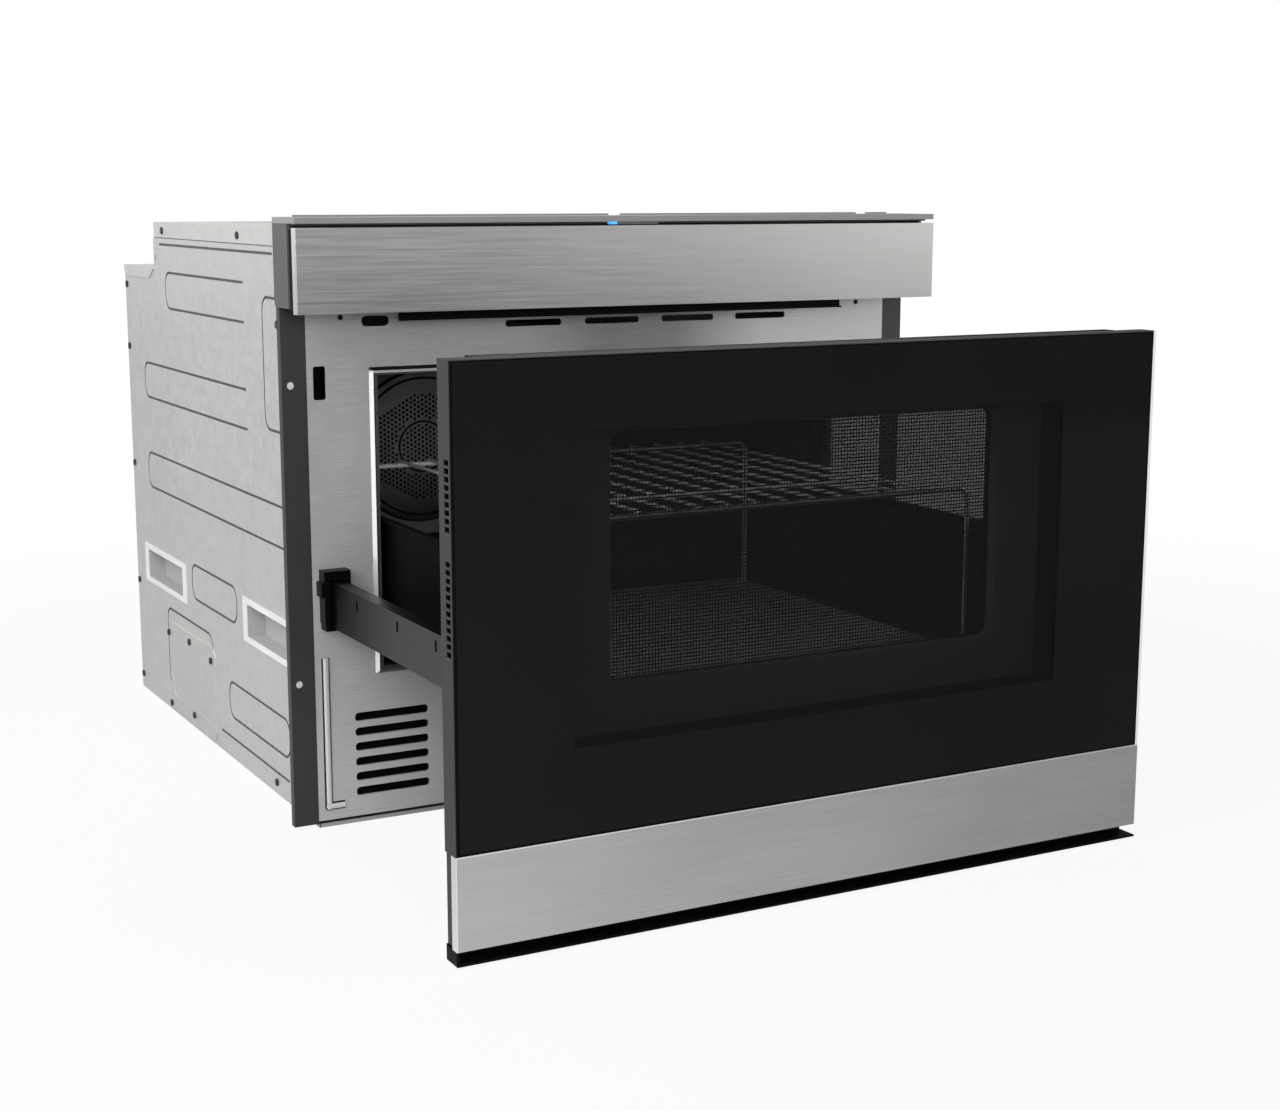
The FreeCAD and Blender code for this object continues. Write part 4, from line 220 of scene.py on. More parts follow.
def make_world():
    """Grey light all around, white where it is looked at, and with its own pattern in gloss."""
    world = bpy.data.worlds.new("studio")
    bpy.context.scene.world = world
    world.use_nodes = True
    tree = world.node_tree
    tree.nodes.clear()
    output = tree.nodes.new("ShaderNodeOutputWorld")
    light = plain_shader(tree, "ShaderNodeBackground", WORLD_LEVEL)
    white = plain_shader(tree, "ShaderNodeBackground", 1)
    straight, level, glossy = seen_rays(tree)
    towards = axes(tree, source(tree, "ShaderNodeTexCoord", "Generated"))
    right = times(tree, ranged(tree, towards["X"], GLOSS_AHEAD, GLOSS_RIGHT, *RIGHT_FADE),
                  ranged(tree, towards["Y"], 1, GLOSS_BEHIND, *BEHIND_FADE))
    left = ranged(tree, towards["X"], GLOSS_LEFT, GLOSS_AHEAD, *LEFT_FADE)
    shine = times(tree, glossy, larger(tree, right, left))
    tree.links.new(larger(tree, level, shine), white.inputs["Strength"])
    surface = mixed(tree, larger(tree, straight, glossy), light.outputs[0], white.outputs[0])
    tree.links.new(surface, output.inputs["Surface"])


def floor_finish():
    """Pale floor: white where it is looked at, grey to the light, its own pattern in gloss."""
    material = bpy.data.materials.new("floor")
    material.use_nodes = True
    tree = material.node_tree
    tree.nodes.clear()
    output = tree.nodes.new("ShaderNodeOutputMaterial")
    matte = plain_shader(tree, "ShaderNodeBsdfDiffuse", FLOOR_LEVEL)
    white = plain_shader(tree, "ShaderNodeEmission", 1)
    white.inputs["Strength"].default_value = FLOOR_STRENGTH
    place = source(tree, "ShaderNodeTexCoord", "Object")
    distance = tree.nodes.new("ShaderNodeVectorMath")
    distance.operation = "LENGTH"
    tree.links.new(place, distance.inputs[0])
    pale = mixed(tree, ranged(tree, distance.outputs["Value"], FLOOR_WHITE, 1, *FLOOR_FADE),
                 matte.outputs[0], white.outputs[0])
    across = axes(tree, place)
    _, level, glossy = seen_rays(tree)
    soft = times(tree, ranged(tree, across["X"], *FLOOR_GLOSS, *FLOOR_SIDES),
                 ranged(tree, across["Y"], 1, 0, *FLOOR_DEPTHS))
    share = larger(tree, level, times(tree, glossy, soft))
    tree.links.new(mixed(tree, share, matte.outputs[0], pale), output.inputs["Surface"])
    return material


def make_floor():
    """A pale floor that fades into the white surroundings and keeps a soft shadow."""
    mesh = bpy.data.meshes.new("floor")
    corners = [(x * FLOOR_HALF, y * FLOOR_HALF, 0) for x, y in ((-1, -1), (1, -1), (1, 1), (-1, 1))]
    mesh.from_pydata(corners, [], [(0, 1, 2, 3)])
    mesh.materials.append(floor_finish())
    floor = bpy.data.objects.new("floor", mesh)
    bpy.context.collection.objects.link(floor)


# ---------------------------------------------------------------- materials

BUMP_HEIGHT = 0.05 * MM
SPECULAR = 0.5


def grey(level):
    return (level, level, level)


def shader_of(tree):
    return tree.nodes["Principled BSDF"]


def new_material(name, colour, roughness, metallic=0.0, specular=SPECULAR):
    """A Principled material of one colour, before its patterns."""
    material = bpy.data.materials.new(name)
    material.use_nodes = True
    inputs = shader_of(material.node_tree).inputs
    inputs["Base Color"].default_value = (*colour, 1)
    inputs["Roughness"].default_value = roughness
    inputs["Metallic"].default_value = metallic
    inputs["Specular IOR Level"].default_value = specular
    return material


def pattern(tree, scale, detail=3.0, roughness=0.55):
    """Noise over the object's own coordinates, stretched by a scale per axis."""
    stretch = tree.nodes.new("ShaderNodeMapping")
    stretch.inputs["Scale"].default_value = scale
    noise = tree.nodes.new("ShaderNodeTexNoise")
    noise.inputs["Scale"].default_value = 1
    noise.inputs["Detail"].default_value = detail
    noise.inputs["Roughness"].default_value = roughness
    tree.links.new(source(tree, "ShaderNodeTexCoord", "Object"), stretch.inputs["Vector"])
    tree.links.new(stretch.outputs["Vector"], noise.inputs["Vector"])
    return noise.outputs["Fac"]


def dimmed(tree, *levels):
    """The base colour times each of some levels."""
    base = shader_of(tree).inputs["Base Color"]
    for level in levels:
        scale = tree.nodes.new("ShaderNodeVectorMath")
        scale.operation = "SCALE"
        if base.is_linked:
            tree.links.new(base.links[0].from_socket, scale.inputs[0])
        else:
            scale.inputs[0].default_value = base.default_value[:3]
        tree.links.new(level, scale.inputs["Scale"])
        tree.links.new(scale.outputs["Vector"], base)


def recolour(tree, where, colour):
    """Another base colour where a mask is 1."""
    base = shader_of(tree).inputs["Base Color"]
    mix = tree.nodes.new("ShaderNodeMix")
    mix.data_type = "RGBA"
    tree.links.new(where, mix.inputs["Factor"])
    tree.links.new(base.links[0].from_socket, mix.inputs["A"])
    mix.inputs["B"].default_value = (*colour, 1)
    tree.links.new(mix.outputs["Result"], base)


def roughened(tree, value, middle, spread, *limits):
    """Roughness that a pattern varies around a middle."""
    level = around(tree, value, middle, spread, *limits)
    tree.links.new(level, shader_of(tree).inputs["Roughness"])


def bumped(tree, value, strength=0.5):
    """A surface whose fine relief follows a pattern."""
    bump = tree.nodes.new("ShaderNodeBump")
    bump.inputs["Strength"].default_value = strength
    bump.inputs["Distance"].default_value = BUMP_HEIGHT
    tree.links.new(value, bump.inputs["Height"])
    tree.links.new(bump.outputs["Normal"], shader_of(tree).inputs["Normal"])


# ---- kinds of finish; grains, clouds and scales count waves per metre

BRUSHED_STRETCH = 0.45
BRUSHED_CLOUDS = (5, 5, 5)
BRUSHED_UNEVEN = 0.06
SPANGLE_SCALE, SPANGLE = 130, 0.03
SHEET_CLOUDS, SHEET_CLOUDED = (4, 4, 4), 0.03
SHEET_GRAIN, SHEET_GRAIN_BUMP = (300, 300, 300), 0.25
MOULD_GRAIN = (1500, 1500, 1500)
MOULD_CLOUDS, MOULD_CLOUDED = (9, 9, 9), 0.05
MOULD_UNEVEN = 0.04
SATIN_GRAIN, SATIN_CLOUDED = (8, 8, 8), 0.06
METAL_UNEVEN = 0.05
GLAZING_ROUGHNESS, GLAZING_SPECULAR = 0.02, 0.05
LENS_ROUGHNESS = 0.3
LENS_GRAIN, LENS_UNEVEN = (900, 900, 900), 0.2


def brushed(name, colour, roughness, grain, variation, clouds=0.05, metallic=1.0):
    """Brushed sheet: fine streaks in colour, gloss and height, and slow cloudy changes."""
    material = new_material(name, colour, roughness, metallic)
    tree = material.node_tree
    shader_of(tree).inputs["Anisotropic"].default_value = BRUSHED_STRETCH
    streak = pattern(tree, grain, detail=4.0, roughness=0.65)
    cloud = pattern(tree, BRUSHED_CLOUDS, detail=2.0)
    dimmed(tree, around(tree, streak, 1, variation), around(tree, cloud, 1, clouds))
    roughened(tree, streak, roughness, BRUSHED_UNEVEN)
    bumped(tree, streak)
    return material


def sheet_metal(name, colour, roughness=0.45, metallic=0.55, specular=SPECULAR):
    """Zinc-coated sheet with a faint spangle."""
    material = new_material(name, colour, roughness, metallic, specular)
    tree = material.node_tree
    cells = tree.nodes.new("ShaderNodeTexVoronoi")
    cells.inputs["Scale"].default_value = SPANGLE_SCALE
    tree.links.new(source(tree, "ShaderNodeTexCoord", "Object"), cells.inputs["Vector"])
    crystal = tree.nodes.new("ShaderNodeSeparateColor")
    tree.links.new(cells.outputs["Color"], crystal.inputs["Color"])
    cloud = pattern(tree, SHEET_CLOUDS)
    dimmed(tree, around(tree, crystal.outputs[0], 1, SPANGLE, 0, 1),
           around(tree, cloud, 1, SHEET_CLOUDED))
    roughened(tree, crystal.outputs[1], roughness, METAL_UNEVEN, 0, 1)
    bumped(tree, pattern(tree, SHEET_GRAIN, detail=2.0), SHEET_GRAIN_BUMP)
    return material


def moulded(name, colour, roughness=0.5, specular=SPECULAR, grain=0.25):
    """Moulded plastic or enamel with a fine grain and slightly uneven gloss."""
    material = new_material(name, colour, roughness, specular=specular)
    tree = material.node_tree
    grains = pattern(tree, MOULD_GRAIN, detail=2.0)
    cloud = pattern(tree, MOULD_CLOUDS, detail=2.0)
    dimmed(tree, around(tree, cloud, 1, MOULD_CLOUDED))
    roughened(tree, cloud, roughness, MOULD_UNEVEN)
    bumped(tree, grains, grain)
    return material


def satin_metal(name, colour, roughness=0.35, metallic=1.0):
    """Smooth metal with slow changes in colour and gloss."""
    material = new_material(name, colour, roughness, metallic)
    tree = material.node_tree
    fine = pattern(tree, SATIN_GRAIN)
    dimmed(tree, around(tree, fine, 1, SATIN_CLOUDED))
    roughened(tree, fine, roughness, METAL_UNEVEN)
    return material


def glass(name, colour, roughness, specular):
    """Polished glass without grain."""
    return moulded(name, colour, roughness, specular, grain=0.0)


def glazing(name, colour, alpha):
    """Thin tinted pane, seen through by its alpha."""
    material = glass(name, colour, GLAZING_ROUGHNESS, GLAZING_SPECULAR)
    shader_of(material.node_tree).inputs["Alpha"].default_value = alpha
    return material


def glowing(name, colour, strength):
    """Moulded lens that glows unevenly in its own colour."""
    material = moulded(name, colour, LENS_ROUGHNESS)
    tree = material.node_tree
    inputs = shader_of(tree).inputs
    inputs["Emission Color"].default_value = (*colour, 1)
    glow = around(tree, pattern(tree, LENS_GRAIN), strength, strength * LENS_UNEVEN)
    tree.links.new(glow, inputs["Emission Strength"])
    return material


# ---- finishes of single pieces, whose colour follows their shape and painted light and shade

GALVANISED = (0.57, 0.565, 0.555)
EDGE_WIDTH = 0.9 * MM

DOOR_SKIN = 0.7 * MM
DOOR_EDGE = 2.8 * MM
# painted shade for the inside of the door frame, seen through its vents
DOOR_INSIDE_SHADE = grey(0.004)
# painted highlight for the door frame's front edge on the right
DOOR_EDGE_HIGHLIGHT = (0.8, 0.8, 0.79)
# a surface faces along an axis where its normal has more than this share of it
FACING = 0.7


def door_frame_finish():
    """Grey door frame with painted shade inside it and a painted highlight on its front edge on the
    right.
    """
    material = moulded("door_side", grey(0.053), roughness=0.5, specular=0.03)
    tree = material.node_tree
    place = position(tree)
    normal = axes(tree, source(tree, "ShaderNodeNewGeometry", "Normal"))
    low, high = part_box("door_frame")
    strip_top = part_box("door_strip")[1].z
    # painted shade on the inside of the frame
    inside = times(tree, within(tree, place["X"], low.x + DOOR_SKIN, high.x - DOOR_SKIN),
                   within(tree, place["Z"], strip_top, high.z - DOOR_SKIN))
    recolour(tree, inside, DOOR_INSIDE_SHADE)
    # painted highlight on the right front edge
    edge = times(tree, above(tree, place["X"], high.x - DOOR_EDGE),
                 below(tree, normal["Y"], -FACING))
    recolour(tree, edge, DOOR_EDGE_HIGHLIGHT)
    return material


# the frame's painted light and shade: its levels and the stretches of height or width over which
# they change
FRAME_LOW_LIGHT, FRAME_TOP_SHADE, FRAME_TOP_FADE = 1.12, 0.8, (0.2, 0.42)
FRAME_DOOR_SHADE, FRAME_DIM_FADE = 0.6, (-0.09, -0.01)
FRAME_RIGHT_LIGHT, FRAME_LIGHT_FADE = 2.1, (0.06, 0.15)
FRAME_SHEET = 2 * MM
FRAME_FOOT = 2.2 * MM
# near black: painted shade on the bead's sides and in the louvres, and the colour of the dark foot
FRAME_DARK = grey(0.008)
BEAD_SKIN = 0.5 * MM
BEAD_RISE = 1.6 * MM
# painted highlight on the top of the bead
BEAD_HIGHLIGHT = (0.85, 0.85, 0.845)


def frame_finish():
    """Brushed frame with painted light and shade: painted shade towards the top and where the door
    stands before it, painted light low down and on the right, a painted highlight on the bead with
    painted shade on its sides and in the louvres, and a dark foot.
    """
    material = brushed("frame_steel", (0.57, 0.57, 0.565), roughness=0.42, grain=(30, 3, 1300),
                       variation=0.12, clouds=0.02, metallic=0.6)
    tree = material.node_tree
    place = position(tree)
    # painted shade towards the top and where the door stands before the frame, painted light low
    # down and on the right
    dimmed(tree, ranged(tree, place["Z"], FRAME_LOW_LIGHT, FRAME_TOP_SHADE, *FRAME_TOP_FADE),
           ranged(tree, place["X"], 1, FRAME_DOOR_SHADE, *FRAME_DIM_FADE),
           ranged(tree, place["X"], 1, FRAME_RIGHT_LIGHT, *FRAME_LIGHT_FADE))
    low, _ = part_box("front_frame")
    bead = low.y + BEAD_SKIN
    face = low.y + BEAD_RISE
    # painted highlight on the bead's top
    recolour(tree, below(tree, place["Y"], bead), BEAD_HIGHLIGHT)
    # painted shade on the bead's sides
    recolour(tree, within(tree, place["Y"], bead, face), FRAME_DARK)
    # painted shade on the louvre vanes behind the sheet
    recolour(tree, above(tree, place["Y"], face + FRAME_SHEET), FRAME_DARK)
    recolour(tree, below(tree, place["Z"], low.z + FRAME_FOOT), FRAME_DARK)
    return material


RAIL_FRAME_SHADE, RAIL_FADE = 0.1, (-0.17, -0.02)
RAIL_TOP_SHADE = grey(0.004)


def rail_finish():
    """Dark slide sections with painted shade on top and towards the frame."""
    material = satin_metal("rail_steel", grey(0.085), roughness=0.4)
    tree = material.node_tree
    normal = axes(tree, source(tree, "ShaderNodeNewGeometry", "Normal"))
    # painted shade towards the frame
    dimmed(tree, ranged(tree, position(tree)["Y"], 1, RAIL_FRAME_SHADE, *RAIL_FADE))
    # painted shade on the top faces
    recolour(tree, above(tree, normal["Z"], FACING), RAIL_TOP_SHADE)
    return material


GROOVE_START, GROOVE_END = 0.25 * MM, 1.2 * MM
# painted shade for the pressed lines; also the colour of the top cover's dark lower edge
GROOVE_SHADE = grey(0.1)


def pressed_panel(name, node, side):
    """Galvanised side panel with painted shade in its pressed lines."""
    material = sheet_metal(name, GALVANISED)
    tree = material.node_tree
    low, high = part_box(node)
    outer = high.x if side > 0 else low.x
    limits = sorted((outer - side * GROOVE_START, outer - side * GROOVE_END))
    # painted shade in the pressed lines
    recolour(tree, within(tree, position(tree)["X"], *limits), GROOVE_SHADE)
    return material


CUP_SKIN = 0.6 * MM
CUP_SHADE = (0.4, 0.4, 0.395)


def cup_finish():
    """White lifting cups with painted shade inside them."""
    material = moulded("cup_white", (0.72, 0.72, 0.71), roughness=0.4)
    tree = material.node_tree
    low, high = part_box("handle_cups")
    inside = within(tree, position(tree)["X"], low.x + CUP_SKIN, high.x - CUP_SKIN)
    # painted shade in the cups' hollow
    recolour(tree, inside, CUP_SHADE)
    return material


def matte_sheet(name):
    """Duller galvanised sheet for the faces that look up, with its colour darkened as painted
    shade.
    """
    return sheet_metal(name, (0.5, 0.495, 0.485), roughness=0.6, metallic=0.15, specular=0.15)


def cover_sheet():
    """Top cover with a dark lower edge on its flanges."""
    material = matte_sheet("top_sheet")
    tree = material.node_tree
    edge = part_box("top_cover")[0].z + EDGE_WIDTH
    recolour(tree, below(tree, position(tree)["Z"], edge), GROOVE_SHADE)
    return material


RIM_BRIGHT = 2.8 * MM
RIM_LINE = 1 * MM
RIM_GREY_SHADE, RIM_DARK_SHADE = grey(0.1), grey(0.02)
RIM_PAINTED_GLINT = (0.7, 0.7, 0.695)


def rim_finish():
    """Polished rim in painted light and shade: a bright outer band as painted highlight, a dark
    line and a grey inner band as painted shade; painted shade along the top with a painted glint
    just below it.
    """
    # the bright base colour is the painted highlight of the outer bands
    material = satin_metal("rim_steel", (0.85, 0.85, 0.845), roughness=0.25, metallic=0.5)
    tree = material.node_tree
    place = position(tree)
    low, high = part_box("cavity_rim")
    left, top = low.x + RIM_BRIGHT, high.z - RIM_BRIGHT
    # painted shade on the inner band
    recolour(tree, within(tree, place["X"], left, high.x - RIM_BRIGHT), RIM_GREY_SHADE)
    # painted shade along the line
    recolour(tree, within(tree, place["X"], left, left + RIM_LINE), RIM_DARK_SHADE)
    # painted shade along the top
    recolour(tree, above(tree, place["Z"], top), RIM_DARK_SHADE)
    # painted glint below the top
    recolour(tree, within(tree, place["Z"], top - 2 * RIM_LINE, top), RIM_PAINTED_GLINT)
    return material


# the pressed rings and the edge of the fan cover, and the painted shade in them and towards its
# bottom
INNER_RING = 25.7 * MM
OUTER_RING = 72.4 * MM
RING_WIDTH = 2.4 * MM
RING_SHADE = grey(0.006)
COVER_EDGE = 2.4 * MM
COVER_BOTTOM_SHADE, COVER_FADE = 0.14, (0.185, 0.33)


def cover_finish():
    """Enamel of the fan cover, with painted shade towards the bottom, in the pressed rings and on
    its edge.
    """
    material = moulded("cover_enamel", grey(0.85), roughness=0.45)
    tree = material.node_tree
    place = position(tree)
    # painted shade towards the bottom, where less light falls
    dimmed(tree, ranged(tree, place["Z"], COVER_BOTTOM_SHADE, 1, *COVER_FADE))
    low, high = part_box("fan_cover")
    middle = (low + high) / 2
    flat = tree.nodes.new("ShaderNodeCombineXYZ")
    for axis in "XZ":
        tree.links.new(place[axis], flat.inputs[axis])
    distance = tree.nodes.new("ShaderNodeVectorMath")
    distance.operation = "DISTANCE"
    distance.inputs[1].default_value = (middle.x, 0, middle.z)
    tree.links.new(flat.outputs[0], distance.inputs[0])
    radius = distance.outputs["Value"]
    for start in (INNER_RING, OUTER_RING):
        # painted shade in the pressed rings
        recolour(tree, within(tree, radius, start, start + RING_WIDTH), RING_SHADE)
    # painted shade on the cover's edge
    recolour(tree, above(tree, radius, high.x - middle.x - COVER_EDGE), RING_SHADE)
    return material


EDGE_HIGHLIGHT = (0.9, 0.9, 0.89)


def edged_strip(name, colour, node, sides):
    """Brushed strip whose front face has painted highlights along its left edge, its top edge or
    both.
    """
    material = brushed(name, colour, roughness=0.36, grain=(12, 4, 900), variation=0.07)
    tree = material.node_tree
    place = position(tree)
    low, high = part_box(node)
    if "left" in sides:
        # painted highlight along the left edge
        recolour(tree, below(tree, place["X"], low.x + EDGE_WIDTH), EDGE_HIGHLIGHT)
    if "top" in sides:
        # painted highlight along the top edge
        recolour(tree, above(tree, place["Z"], high.z - EDGE_WIDTH), EDGE_HIGHLIGHT)
    return material


BACK_SHEET = 2 * MM
CAVITY_BACK_LIGHT = grey(0.5)


def cavity_finish():
    """Cavity enamel in painted light and shade: dark walls as painted shade and a lighter back wall
    as painted light.
    """
    material = moulded("cavity_enamel", grey(0.02), roughness=0.5, specular=0.1)
    tree = material.node_tree
    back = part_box("cavity_liner")[1].y - BACK_SHEET
    # painted light on the back wall
    recolour(tree, above(tree, position(tree)["Y"], back), CAVITY_BACK_LIGHT)
    return material


# ---- which piece takes which finish

# slot: colour, roughness and specular level of plastic, print and enamel
MOULDED = {
    "strip_dark": ((0.028, 0.028, 0.029), 0.45, SPECULAR),
    "housing_dark": (grey(0.085), 0.5, 0.3),
    "black_plastic": (grey(0.004), 0.4, 0.1),
    "black_metal": (grey(0.003), 0.45, 0.06),
    "trim_black": (grey(0.24), 0.4, SPECULAR),
    "screen": (grey(0.01), 0.45, 0.1),
    "pan_dark": (grey(0.002), 0.55, 0.03),
    "ceramic": ((0.42, 0.42, 0.41), 0.12, SPECULAR),
    "white_plastic": ((0.72, 0.72, 0.71), 0.4, SPECULAR),
    "circuit": ((0.04, 0.16, 0.08), 0.5, SPECULAR),
    "heater": ((0.06, 0.055, 0.05), 0.5, SPECULAR),
    "lens": ((0.14, 0.14, 0.15), 0.15, SPECULAR),
    "rack_nylon": (grey(0.02), 0.45, 0.2),
}
FINISHES = {
    **{slot: moulded(slot, *look) for slot, look in MOULDED.items()},
    "galvanised": sheet_metal("galvanised", GALVANISED),
    "zinc": sheet_metal("zinc", grey(0.5)),
    "magnetron": sheet_metal("magnetron", grey(0.45)),
    "frame_steel": frame_finish(),
    "panel_steel": edged_strip("panel_steel", (0.455, 0.45, 0.44), "control_fascia", ["left"]),
    "rail_steel": rail_finish(),
    "rim_steel": rim_finish(),
    "carriage_steel": satin_metal("carriage_steel", grey(0.3)),
    "wire": satin_metal("wire", (0.85, 0.85, 0.84), roughness=0.3, metallic=0.4),
    "aluminium": satin_metal("aluminium", (0.75, 0.75, 0.76), roughness=0.3),
    "door_side": door_frame_finish(),
    "cavity_enamel": cavity_finish(),
    "cover_enamel": cover_finish(),
    "led": glowing("led", (0.05, 0.35, 1.0), 1.2),
    "clear_glass": glazing("clear_glass", grey(0.009), alpha=0.56),
    "touch_glass": glass("touch_glass", (0.008, 0.008, 0.009), roughness=0.05, specular=0.2),
    "door_glass": glass("door_glass", grey(0.0085), roughness=0.06, specular=0.06),
}
# nodes that look different from the rest of their slot
SPECIAL_FINISHES = {
    "door_strip": edged_strip("strip_steel", (0.52, 0.515, 0.505), "door_strip", ["left", "top"]),
    "top_cover": cover_sheet(),
    "rear_step": matte_sheet("rear_sheet"),
    "handle_cups": cup_finish(),
    "side_panel_left": pressed_panel("left_panel", "side_panel_left", -1),
    "side_panel_right": pressed_panel("right_panel", "side_panel_right", 1),
    "guide_brackets": moulded("bracket_black", grey(0.003), roughness=0.35, specular=0.04),
    "case_screws": satin_metal("dark_screw", grey(0.05), roughness=0.4),
    # near black as painted shade inside the pot, behind the cover's holes
    "convection_pot": moulded("pot_shade", grey(0.003), roughness=0.6, specular=0.05),
    # near black as painted shade inside the pot
    "heater_ring": moulded("rod_shade", grey(0.006), roughness=0.6, specular=0.05),
    "window_mask": moulded("mask_enamel", grey(0.16), roughness=0.5, specular=0.1),
    "inner_glass": glazing("inner_glass", grey(0.01), alpha=0.05),
    # near black as painted shade inside the pot
    "convection_fan": moulded("fan_shade", grey(0.005), roughness=0.6, specular=0.1),
}


def finish_nodes():
    """Each CAD node takes the finish of its slot in the record, or its own."""
    chosen = {entry["node"]: FINISHES[entry["material_slot"]]
              for entry in frame["record"]["subparts"]}
    chosen.update(SPECIAL_FINISHES)
    for name, finish in chosen.items():
        materials = nodes[name].data.materials
        materials.clear()
        materials.append(finish)


# ---------------------------------------------------------------- mesh helpers

def add_piece(name, mesh, body, slot):
    """A piece of the scene that moves with a body and has the finish of a slot."""
    mesh.materials.append(FINISHES[slot])
    piece = bpy.data.objects.new(name, mesh)
    bpy.context.collection.objects.link(piece)
    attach(piece, body)
    return piece


def mesh_of(name, build):
    """A mesh that a function fills in with bmesh."""
    work = bmesh.new()
    build(work)
    bmesh.ops.recalc_face_normals(work, faces=work.faces)
    mesh = bpy.data.meshes.new(name)
    work.to_mesh(mesh)
    work.free()
    return mesh


def add_box(work, low, high):
    """A box between two corners."""
    low, high = Vector(low), Vector(high)
    place = Matrix.Translation((low + high) / 2) @ Matrix.Diagonal((*(high - low), 1))
    bmesh.ops.create_cube(work, size=1, matrix=place)


def join_rings(work, pairs):
    """Faces between each pair of rings of points; a ring may be a single point."""
    for first, second in pairs:
        for step in range(max(len(first), len(second))):
            following = step + 1
            corners = [first[step % len(first)], second[step % len(second)],
                       second[following % len(second)], first[following % len(first)]]
            work.faces.new(list(dict.fromkeys(corners)))


# ---------------------------------------------------------------- door glass

CLEAR_HALF = 212 * MM
CLEAR_LOW, CLEAR_HIGH = 145 * MM, 367 * MM
GLASS_CHAMFER = 1.2 * MM
PANE_CHAMFER = 0.15 * MM
PANE_ROUND = 0.7


def upright(left, bottom, right, top):
    """The corners of an upright rectangle, as X and Z."""
    return [(left, bottom), (right, bottom), (right, top), (left, top)]


def door_glazing():
    """The front glass: a printed border around a clear window, with polished edges."""
    low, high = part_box("door_glass")

    def border(work):
        outer = upright(low.x, low.z, high.x, high.z)
        inner = upright(-CLEAR_HALF, CLEAR_LOW, CLEAR_HALF, CLEAR_HIGH)
        inset = upright(low.x + GLASS_CHAMFER, low.z + GLASS_CHAMFER,
                        high.x - GLASS_CHAMFER, high.z - GLASS_CHAMFER)
        loops = [(inner, high.y), (inner, low.y), (inset, low.y),
                 (outer, low.y + GLASS_CHAMFER), (outer, high.y)]
        rings = [[work.verts.new((x, y, z)) for x, z in loop] for loop, y in loops]
        join_rings(work, zip(rings, rings[1:] + rings[:1]))

    def pane(work):
        add_box(work, (-CLEAR_HALF, low.y, CLEAR_LOW), (CLEAR_HALF, high.y, CLEAR_HIGH))
        bmesh.ops.bevel(work, geom=list(work.edges), offset=PANE_CHAMFER, segments=2,
                        affect="EDGES", profile=PANE_ROUND)

    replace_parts(add_piece("door_glass_border", mesh_of("door_glass_border", border), "drawer",
                          "door_glass"), "door_glass")
    add_piece("door_glass_window", mesh_of("door_glass_window", pane), "drawer", "clear_glass")


# ---------------------------------------------------------------- window screen

SCREEN_PITCH = 2.65 * MM
SCREEN_BAR = 0.95 * MM


def screen_lines(start, end):
    """The edges of the bars and holes between two ends, holes in every second gap."""
    count = int((end - start - SCREEN_BAR) / SCREEN_PITCH)
    margin = (end - start - count * SCREEN_PITCH - SCREEN_BAR) / 2
    places = [start]
    for step in range(count):
        hole = start + margin + SCREEN_BAR + step * SCREEN_PITCH
        places += [hole, hole + SCREEN_PITCH - SCREEN_BAR]
    return places + [end]


def window_screen():
    """The perforated screen, as one sheet with a grid of real holes."""
    low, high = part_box("window_mesh")

    def build(work):
        xs, zs = screen_lines(low.x, high.x), screen_lines(low.z, high.z)
        middle = (low.y + high.y) / 2
        grid = [[work.verts.new((x, middle, z)) for z in zs] for x in xs]
        for column in range(len(xs) - 1):
            for row in range(len(zs) - 1):
                if column % 2 == 1 and row % 2 == 1:
                    continue
                work.faces.new((grid[column][row], grid[column + 1][row],
                                grid[column + 1][row + 1], grid[column][row + 1]))

    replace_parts(add_piece("window_screen", mesh_of("window_screen", build), "drawer", "screen"),
                "window_mesh")


# ---------------------------------------------------------------- fan cover

HOLE_PITCH = 5 * MM
HOLE_RADIUS = 1.75 * MM
FIELD_TOP = 57 * MM
FIELD_SLANT = 54.5 * MM
FIELD_SIDE = 58 * MM
HEXAGON_TURN = math.radians(30)
RING_DEPTH = 2.8 * MM
RING_SLOPE = 0.3
RING_CLEAR = 2.4 * MM
COVER_SHEET = 0.4 * MM
COVER_STEPS = 144


def hexagons():
    """Centres of the holes: a honeycomb in a hexagonal field that leaves the inner ring free."""
    column_pitch = HOLE_PITCH * math.sqrt(3) / 2
    reach = int(FIELD_SIDE / column_pitch) + 2
    for column in range(-reach, reach + 1):
        x = column * column_pitch
        for row in range(-reach, reach + 1):
            z = (row + 0.5 * (column % 2)) * HOLE_PITCH
            distance = math.hypot(x, z)
            slant = abs(z) * math.cos(HEXAGON_TURN) + abs(x) * math.sin(HEXAGON_TURN)
            on_ring = INNER_RING - RING_CLEAR < distance < INNER_RING + RING_WIDTH + RING_CLEAR
            if abs(z) < FIELD_TOP and abs(x) < FIELD_SIDE and slant < FIELD_SLANT and not on_ring:
                yield x, z


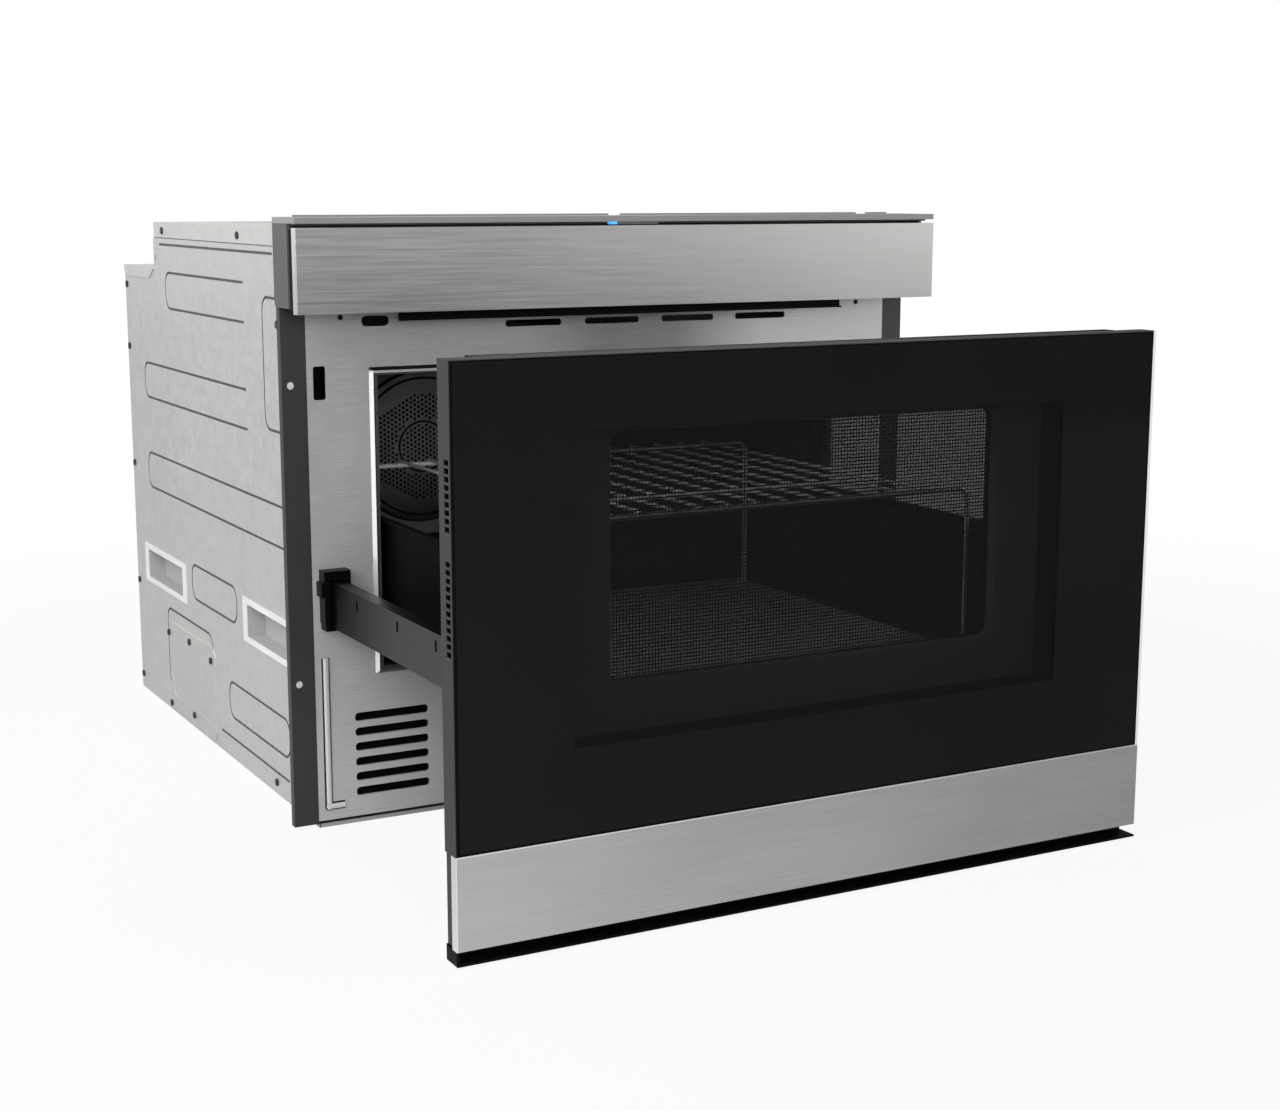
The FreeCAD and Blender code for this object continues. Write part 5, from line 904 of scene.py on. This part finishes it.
def cover_profile(radius, depth):
    """Distance from the axis and depth of the cover's section: its face, then the back of it."""
    face = [(0, 0)]
    for ring in (INNER_RING, OUTER_RING):
        face += [(ring, 0), (ring + RING_WIDTH * RING_SLOPE, RING_DEPTH),
                 (ring + RING_WIDTH * (1 - RING_SLOPE), RING_DEPTH), (ring + RING_WIDTH, 0)]
    face += [(radius - depth, 0), (radius, depth)]
    return face + [(distance, place + COVER_SHEET) for distance, place in reversed(face)]


def perforated_cover():
    """The fan cover with its full field of small hexagonal holes."""
    low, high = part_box("fan_cover")
    centre = (low + high) / 2
    profile = cover_profile((high.x - low.x) / 2, high.y - low.y - COVER_SHEET)
    turns = [2 * math.pi * step / COVER_STEPS for step in range(COVER_STEPS)]

    def dish(work):
        rings = [[work.verts.new((centre.x + distance * math.cos(turn), low.y + depth,
                                  centre.z + distance * math.sin(turn)))
                  for turn in (turns if distance else turns[:1])] for distance, depth in profile]
        join_rings(work, zip(rings, rings[1:]))

    def cutters(work):
        for x, z in hexagons():
            place = Matrix.Translation((centre.x + x, low.y + COVER_SHEET / 2, centre.z + z))
            bmesh.ops.create_cone(work, cap_ends=True, segments=6, radius1=HOLE_RADIUS,
                                  radius2=HOLE_RADIUS, depth=COVER_SHEET * 2,
                                  matrix=place @ Matrix.Rotation(math.pi / 2, 4, "X"))

    blank = bpy.data.objects.new("cover_blank", mesh_of("cover_blank", dish))
    holes = bpy.data.objects.new("cover_holes", mesh_of("cover_holes", cutters))
    for item in (blank, holes):
        bpy.context.collection.objects.link(item)
    cut = blank.modifiers.new("holes", "BOOLEAN")
    cut.operation = "DIFFERENCE"
    cut.solver = "MANIFOLD"
    cut.object = holes
    bpy.context.view_layer.update()
    graph = bpy.context.evaluated_depsgraph_get()
    mesh = bpy.data.meshes.new_from_object(blank.evaluated_get(graph))
    for item in (blank, holes):
        bpy.data.objects.remove(item)
    mesh.name = "perforated_cover"
    mesh.materials.clear()
    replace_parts(add_piece("perforated_cover", mesh, "oven", "cover_enamel"), "fan_cover")


# ---------------------------------------------------------------- build

make_camera()
make_world()
make_lamps()
make_floor()
finish_nodes()
door_glazing()
window_screen()
perforated_cover()

bpy.context.scene.view_settings.view_transform = "Standard"
